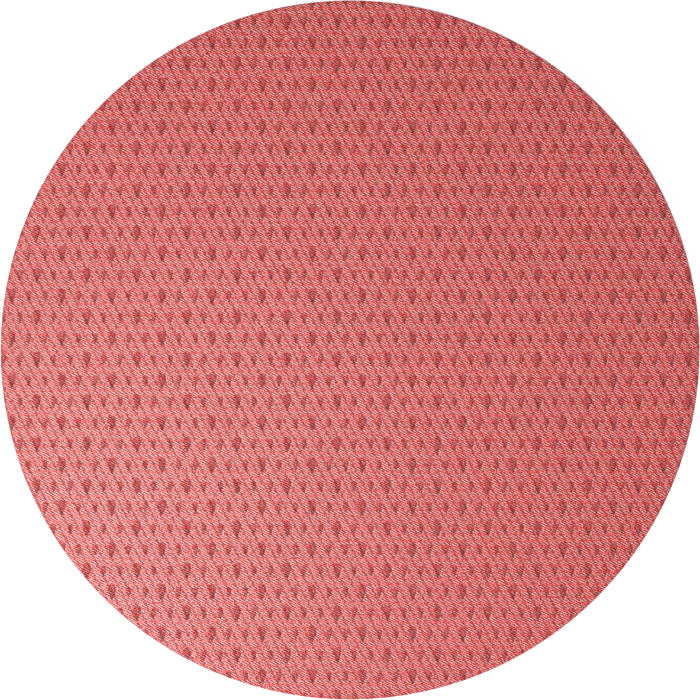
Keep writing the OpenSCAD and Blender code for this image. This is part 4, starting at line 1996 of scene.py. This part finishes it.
@dataclass
class PaddleTray:
    """Die-cut foam tray with pockets for a paddle and four balls, and the strap over the handle."""

    wardrobe: Wardrobe
    blade_radius: float = 81.0
    blade_place: float = 50.0
    slot_half: float = 18.0
    slot_end: float = -113.0
    scoop_radius: float = 13.0
    scoop_place: float = 83.0
    ball_radius: float = 21.0
    ball_places: tuple[tuple[float, float], ...] = ((58.0, -98.0), (99.0, -52.0))
    floor_left: float = 3.0
    rounding: float = 1.2
    foot_rounding: float = 0.8

    def __post_init__(self) -> None:
        """Takes the sizes from the frame."""
        tray = Extent.of("foam_insert")
        self.radius, self.bottom, self.top = tray.radius, tray.bottom, tray.top

    def build(self) -> None:
        """Builds and dresses the tray's pieces."""
        self.tray()
        self.strap()

    def paddle_outline(self) -> np.ndarray:
        """Outline of the paddle's pocket, anticlockwise: arcs of the blade, the scoops and the slot's end.

        The circles of the blade (radius b) and a scoop (radius s, d away) cross at x = (b^2 - s^2 + d^2) / 2d.

        Returns:
            (points, 2) loop.
        """
        blade, scoop, away = self.blade_radius, self.scoop_radius, self.scoop_place
        cross_x = (blade ** 2 - scoop ** 2 + away ** 2) / (2.0 * away)
        cross_y = math.sqrt(blade ** 2 - cross_x ** 2)
        cross = math.degrees(math.atan2(cross_y, cross_x))
        scoop_turn = math.degrees(math.atan2(cross_y, cross_x - away))
        neck = math.degrees(math.asin(self.slot_half / blade))
        middle = (0.0, self.blade_place)
        right, left = (away, self.blade_place), (-away, self.blade_place)
        return np.concatenate([
            arc(middle, blade, -90.0 + neck, -cross, 34)[:-1],
            arc(right, scoop, -scoop_turn, scoop_turn, 22)[:-1],
            arc(middle, blade, cross, 180.0 - cross, 76)[:-1],
            arc(left, scoop, 180.0 - scoop_turn, 180.0 + scoop_turn, 22)[:-1],
            arc(middle, blade, 180.0 + cross, 270.0 - neck, 34),
            arc((0.0, self.slot_end), self.slot_half, 180.0, 360.0, 36),
        ])

    @staticmethod
    def spread(outline: np.ndarray, distance: float) -> np.ndarray:
        """Moves an anticlockwise outline outwards: each point goes along the mean of its two edges' normals.

        Args:
            outline: (points, 2) loop.
            distance: How far each edge moves, below zero for inwards.

        Returns:
            The moved loop.
        """
        edge = np.roll(outline, -1, axis=0) - outline
        normal = np.column_stack([edge[:, 1], -edge[:, 0]]) / np.linalg.norm(edge, axis=1, keepdims=True)
        mean = normal + np.roll(normal, 1, axis=0)
        return outline + mean * (2.0 * distance / np.sum(mean * mean, axis=1, keepdims=True))

    def side(self, outline: np.ndarray, steps: Sequence[tuple[float, float]]) -> Surface:
        """Wall over an outline: the outline spread by each step's distance, at that step's height.

        Args:
            outline: (points, 2) loop.
            steps: Distance and height of each ring.

        Returns:
            The wall's surface.
        """
        rings = [np.column_stack([self.spread(outline, away), np.full(len(outline), z)]) for away, z in steps]
        return grid(np.stack(rings), close_columns=True)

    def tray(self) -> None:
        """Foam tray: a disc with rounded rim, walls of each pocket with rounded mouths, and level fills."""
        top, floor = self.top, self.bottom + self.floor_left
        turn = np.radians(np.linspace(0.0, 90.0, 5))
        mouth = [(self.rounding * (1 - math.sin(a)), top - self.rounding * (1 - math.cos(a))) for a in turn]
        foot = [(-self.foot_rounding * (1 - math.cos(a)), floor + self.foot_rounding * (1 - math.sin(a)))
                for a in turn[::2]]
        balls = [(side * x, y) for side in (-1, 1) for x, y in self.ball_places]
        pockets = [self.paddle_outline()]
        pockets += [arc(place, self.ball_radius, 0.0, 360.0, 60)[:-1] for place in balls]
        rim = arc((0.0, 0.0), self.radius, 0.0, 360.0, 216)[:-1]
        edge = [(-(self.rounding * (1 - math.sin(a))), top - self.rounding * (1 - math.cos(a))) for a in turn]
        parts = [self.side(rim, [(0.0, self.bottom), *edge[::-1]])]
        parts += [self.side(pocket, [*foot[::-1], *mouth[::-1]]).flipped() for pocket in pockets]
        parts.append(flat_fill(rim, [], self.bottom).flipped())
        parts += [flat_fill(self.spread(pocket, foot[-1][0]), [], floor) for pocket in pockets]
        parts.append(flat_fill(self.spread(rim, -self.rounding),
                               [self.spread(pocket, self.rounding) for pocket in pockets], top))
        made = piece("foam_tray", Surface.joined(parts).outward(), self.wardrobe.insert_foam, Half.BACK.body,
                     ["foam_insert"])
        merged(made)

    def strap(self) -> None:
        """Elastic strap: a rounded flat section carried along X, thicker at its turned-under ends, with a
        stitched cross at each end."""
        node = Extent.of("handle_strap")
        middle = float(node.low[1] + node.high[1]) / 2.0
        half_width = float(node.high[1] - node.low[1]) / 2.0
        section = split_loop(rounded_box((-half_width, 0.0), (half_width, 1.0), 0.3, 3), 1.0)
        x = np.linspace(float(node.low[0]), float(node.high[0]), 61)
        inset = np.clip((x[-1] - np.abs(x)) / 0.5, 0.0, 1.0)
        layers = np.where(np.abs(x) > x[-1] - 11.0, 0.98, 0.72)
        thick = (node.top - node.bottom) * layers * (0.4 + 0.6 * inset)
        narrow = 1.0 - 0.02 * np.cos(math.pi * x / (2.0 * x[-1]))
        rib = 1.0 + 0.06 * np.abs(np.sin(section[:, :1] * math.pi / 1.25)) * (section[:, 1:] > 0.5)
        height = node.bottom + 0.02 + section[:, 1:] * rib / 1.06 * thick
        points = np.stack(np.broadcast_arrays(x, middle + section[:, :1] * narrow, height), axis=-1)
        skin = grid(points, np.stack(np.meshgrid(x, distance_round(section)), axis=-1), close_rows=True)
        surface = with_ends(skin, len(section), skin.points[:, [1, 2]])
        made = piece("elastic_strap", surface, self.wardrobe.elastic, Half.BACK.body, ["handle_strap"])
        sewing = Stitching(length=1.9, pitch=2.4)
        place = float(node.high[0]) - 6.0
        boxes = [sewing.crossed_box((side * place, middle), (4.2, half_width - 3.0), node.top - 0.12)
                 for side in (-1, 1)]
        rows = piece("elastic_strap_stitching", Surface.joined(boxes), self.wardrobe.dark_thread,
                     Half.BACK.body)


@dataclass
class LidPocket:
    """Mesh pocket on the lid's ceiling, bound along the wall, with elastic along its mouth."""

    wardrobe: Wardrobe
    cell: float = 3.4
    hole: float = 0.63
    hem_width: float = 3.2

    def __post_init__(self) -> None:
        """Takes the sizes from the frame."""
        net, edging = Extent.of("mesh_pocket"), Extent.of("pocket_edging")
        self.radius, self.low, self.high = net.radius, net.bottom, net.top
        self.mouth = float(net.high[1])
        self.edging = edging

    def build(self) -> None:
        """Builds and dresses the pocket's pieces."""
        hem, elastic = self.hem(), self.mouth_elastic()
        made = piece("pocket_net", self.net(), self.wardrobe.net, Half.FRONT.body, ["mesh_pocket"])
        width, depth = 2.0 * self.radius * MM, (self.radius + self.mouth) * MM
        away = -self.mouth
        half_chord = math.sqrt(self.radius ** 2 - away ** 2)
        segment = self.radius ** 2 * math.acos(away / self.radius) - away * half_chord
        segment * MM * MM

    def net(self) -> Surface:
        """Net of six-sided holes: a honeycomb plate whose cells each have a smaller six-sided hole.

        Cell corners are the cell's middle + size (cos, sin) of 30, 90 ... 330 degrees, shared by neighbours.

        Returns:
            The closed surface.
        """
        corner = self.cell / math.sqrt(3.0)
        rows = np.arange(int(2.0 * self.radius / (1.5 * corner)) + 2)
        columns = np.arange(-int(self.radius / self.cell) - 2, int(self.radius / self.cell) + 3)
        row, column = (part.ravel() for part in np.meshgrid(rows, columns, indexing="ij"))
        x = (column + 0.5 * (row % 2)) * self.cell
        y = -self.radius + row * 1.5 * corner
        kept = (np.hypot(x, y) < self.radius - corner - 0.3) & (y < self.mouth - corner * 0.2)
        middle = np.stack([x[kept], y[kept]], axis=-1)
        turn = np.radians(30.0 + 60.0 * np.arange(6))
        spoke = np.stack([np.cos(turn), np.sin(turn)], axis=-1)
        outer = middle[:, None] + spoke * corner
        inner = middle[:, None] + spoke * corner * self.hole
        _, first, shared = np.unique(np.round(outer.reshape(-1, 2), 3), axis=0, return_index=True,
                                     return_inverse=True)
        outer_points = outer.reshape(-1, 2)[first]
        outer_number = shared.reshape(-1, 6)
        inner_number = len(outer_points) + np.arange(inner.size // 2).reshape(-1, 6)
        flat = np.concatenate([outer_points, inner.reshape(-1, 2)])
        count = len(flat)
        bar = np.concatenate([np.full(len(outer_points), 1.0), np.full(len(inner_number) * 6, 0.55)])
        half = (self.high - self.low) / 2.0
        level = (self.high + self.low) / 2.0
        points = np.concatenate([np.column_stack([flat, level + half * bar]),
                                 np.column_stack([flat, level - half * bar])])
        outer_next, inner_next = np.roll(outer_number, -1, axis=1), np.roll(inner_number, -1, axis=1)
        upper = np.stack([outer_number, outer_next, inner_next, inner_number], axis=-1).reshape(-1, 4)
        hole = np.stack([inner_number, inner_next, inner_next + count, inner_number + count], axis=-1)
        edges = np.stack([outer_number, outer_next], axis=-1).reshape(-1, 2)
        _, place, uses = np.unique(np.sort(edges, axis=1), axis=0, return_index=True, return_counts=True)
        free = edges[place[uses == 1]]
        border = np.column_stack([free[:, 1], free[:, 0], free[:, 0] + count, free[:, 1] + count])
        quads = np.concatenate([upper, upper[:, ::-1] + count, hole.reshape(-1, 4), border])
        return Surface(points, quads).outward().wrapped_cloth()

    def hem(self) -> list[bpy.types.Object]:
        """Bound edge of the net along the wall: a rounded band along the arc behind the mouth.

        Returns:
            The band and its stitching.
        """
        start = math.pi + math.asin(-self.mouth / self.radius) + 0.01
        section = rounded_box((self.radius - self.hem_width, self.low - 0.05),
                              (self.radius - 0.05, self.high + 0.05), 0.35, 3)
        surface = band(section, start, 3.0 * math.pi - start)
        made = piece("pocket_hem", surface, self.wardrobe.webbing, Half.FRONT.body)
        sewing = Stitching(length=1.9, pitch=2.5)
        count = int((3.0 * math.pi - 2.0 * start) * self.radius / sewing.pitch)
        angle = np.linspace(start + 0.02, 3.0 * math.pi - start - 0.02, count)
        down = np.repeat([(0.0, 0.0, -1.0)], count, axis=0)
        middle = ray(angle) * (self.radius - self.hem_width / 2.0) + (0.0, 0.0, self.low - 0.05)
        rows = piece("pocket_hem_stitching", sewing.sewn(middle, onward(angle), down),
                     self.wardrobe.dark_thread, Half.FRONT.body)
        return [made, rows]

    def mouth_elastic(self) -> list[bpy.types.Object]:
        """Elastic along the mouth: a rounded flat section carried along X, gathered in slight ripples.

        Returns:
            The elastic and its stitching.
        """
        low, high = self.edging.low, self.edging.high
        half = (float(high[1] - low[1]) / 2.0, float(high[2] - low[2]) / 2.0)
        section = split_loop(rounded_box((-half[0], -half[1]), half, half[1] * 0.7, 4), 0.8)
        reach = math.sqrt(self.radius ** 2 - max(abs(low[1]), abs(high[1])) ** 2) - 0.1
        x = np.linspace(-reach, reach, 241)
        middle = (float(low[1] + high[1]) / 2.0, float(low[2] + high[2]) / 2.0)
        pinch = 0.93 - 0.05 * np.sin(x * TURN / 5.2) ** 2
        rib = 1.0 - 0.08 * np.abs(np.cos(section[:, :1] * math.pi / 1.25)) * (np.abs(section[:, 1:]) > 0.4)
        y = middle[0] + section[:, :1] * np.ones(len(x))
        z = middle[1] + section[:, 1:] * rib * pinch
        points = np.stack(np.broadcast_arrays(x, y, z), axis=-1)
        skin = grid(points, np.stack(np.meshgrid(x, distance_round(section)), axis=-1), close_rows=True)
        surface = with_ends(skin, len(section), skin.points[:, [1, 2]])
        made = piece("pocket_elastic", surface, self.wardrobe.elastic, Half.FRONT.body, ["pocket_edging"])
        sewing = Stitching(length=2.2, pitch=3.0)
        place = (middle[0] - half[0] + 1.6, float(low[2]) + 0.12)
        line = sewing.flat_line((-reach + 2.0, *place), (reach - 2.0, *place), (0.0, 0.0, -1.0))
        thread = piece("pocket_elastic_stitching", line, self.wardrobe.dark_thread, Half.FRONT.body)
        return [made, thread]


@dataclass
class GrabTab:
    """Short folded webbing at the end that opens, to hold while the zip is drawn."""

    wardrobe: Wardrobe
    webbing: float = 1.0

    def build(self) -> None:
        """Folds the webbing: its line runs out, round a half circle and back, with a rounded section."""
        node = Extent.of("grab_tab")
        half_width, middle = node.radius, (node.top + node.bottom) / 2.0
        reach, root = float(node.high[1]), float(node.low[1])
        bend = (node.top - node.bottom - self.webbing) / 2.0
        line = np.concatenate([
            [(root + 0.1, middle - bend)],
            arc((reach - self.webbing / 2.0 - bend, middle), bend, -90.0, 90.0, 10),
            [(root + 0.1, middle + bend)],
        ])
        line = split_long(line, 1.0)
        tangent = np.gradient(line, axis=0)
        tangent /= np.linalg.norm(tangent, axis=1, keepdims=True)
        normal = np.column_stack([tangent[:, 1], -tangent[:, 0]])
        half = self.webbing / 2.0
        section = split_loop(rounded_box((-half_width, -half), (half_width, half), 0.35, 3), 1.2)
        place = line[None] + normal[None] * section[:, 1:, None]
        x = np.repeat(section[:, :1], len(line), axis=1)
        points = np.stack([x, place[..., 0], place[..., 1]], axis=-1)
        cloth = np.stack(np.meshgrid(distance_along(line), distance_round(section)), axis=-1)
        skin = grid(points, cloth, close_rows=True)
        surface = with_ends(skin, len(section), skin.points[:, [0, 2]])
        piece("grab_tab_webbing", surface, self.wardrobe.webbing, Half.BACK.body, ["grab_tab"])
        sewing = Stitching(length=1.7, pitch=2.2)
        box = sewing.crossed_box((0.0, root + 5.6), (half_width - 2.2, 4.2), node.top)
        piece("grab_tab_stitching", box, self.wardrobe.dark_thread, Half.BACK.body)


# --- Studio ---


@dataclass
class Studio:
    """Pale floor, soft light and a camera straight above the front face."""

    lens: float = 50.0
    sensor: float = 36.0
    margin: float = 1.0015
    floor_size: float = 40.0
    floor_glow: float = 0.8
    daylight: float = 0.27

    def build(self) -> None:
        """Builds the floor, the lights and the camera."""
        self.floor()
        self.light("fill_softbox", (1.2, 1.3, 1.5), (1.2, 1.2), 0.6, (1.0, 0.99, 0.98))
        self.light("sheen_softbox", (-0.50, -0.46, 1.25), (0.4, 0.4), 15.5, (1.0, 0.98, 0.97))
        self.surroundings()
        self.camera()

    def floor(self) -> None:
        """Large level floor with a faint mottle, pale enough to read as white."""
        half = self.floor_size * 500.0
        step = np.linspace(-half, half, 9)
        x, y = np.meshgrid(step, step)
        surface = grid(np.stack([x, y, np.full_like(x, -0.3)], axis=-1))
        tree = Tree("studio_floor", Roughness=0.85, Specular_IOR_Level=0.1, Emission_Strength=self.floor_glow,
                    Emission_Color=(1.0, 1.0, 1.0))
        mottle = tree.noise(tree.place(), 260.0, 2.0)
        tree.colour(tree.ramp(mottle, (0.3, (0.80, 0.80, 0.80)), (0.7, (0.86, 0.86, 0.86))))
        made = bpy.data.objects.new("floor", mesh_of("floor", surface))
        bpy.context.scene.collection.objects.link(made)
        made.data.materials.append(tree.material)

    def light(self, name: str, place: Sequence[float], size: Sequence[float], power: float,
              colour: Colour) -> None:
        """Adds a soft rectangular light aimed at the case.

        Args:
            name: The light's name.
            place: Its place in metres.
            size: Its width and height in metres.
            power: Its power in watts.
            colour: Its colour.
        """
        lamp = bpy.data.lights.new(name, "AREA")
        lamp.shape = "RECTANGLE"
        lamp.size, lamp.size_y = size
        lamp.energy = power
        lamp.color = colour
        made = bpy.data.objects.new(name, lamp)
        made.location = place
        made.rotation_euler = (Vector((0.0, 0.0, 0.03)) - Vector(place)).to_track_quat("-Z", "Y").to_euler()
        bpy.context.scene.collection.objects.link(made)

    def surroundings(self) -> None:
        """Even pale light from all round, and plain colour reproduction."""
        world = bpy.data.worlds.new("studio")
        world.use_nodes = True
        background = world.node_tree.nodes["Background"]
        background.inputs["Color"].default_value = (1.0, 1.0, 1.0, 1.0)
        background.inputs["Strength"].default_value = self.daylight
        bpy.context.scene.world = world
        bpy.context.scene.view_settings.view_transform = "Standard"
        bpy.context.scene.view_settings.look = "None"

    def camera(self) -> None:
        """Camera straight above, where the case's outline just fits the picture: height = r margin / tan."""
        panel = Extent.of("front_panel")
        spread = self.sensor / 2.0 / self.lens
        outline_height = panel.top - 1.5
        height = outline_height + panel.radius * self.margin / spread
        data = bpy.data.cameras.new("camera")
        data.lens, data.sensor_width = self.lens, self.sensor
        data.clip_start, data.clip_end = 0.01, 20.0
        made = bpy.data.objects.new("camera", data)
        made.location = (0.0, 0.0, height * MM)
        bpy.context.scene.collection.objects.link(made)
        bpy.context.scene.camera = made


def main() -> None:
    """Builds the studio and the case's sub-assemblies in order."""
    logging.basicConfig(level=logging.INFO, format="%(message)s")
    Studio().build()
    wardrobe = Wardrobe()
    for half in Half:
        Dish(half, wardrobe).build()
        ZipSide(half, wardrobe).build()
    Hinge(wardrobe).build()
    PaddleTray(wardrobe).build()
    LidPocket(wardrobe).build()
    GrabTab(wardrobe).build()
    for side in ("left", "right"):
        Pull(side, wardrobe).build()


if __name__ == "__main__":
    main()
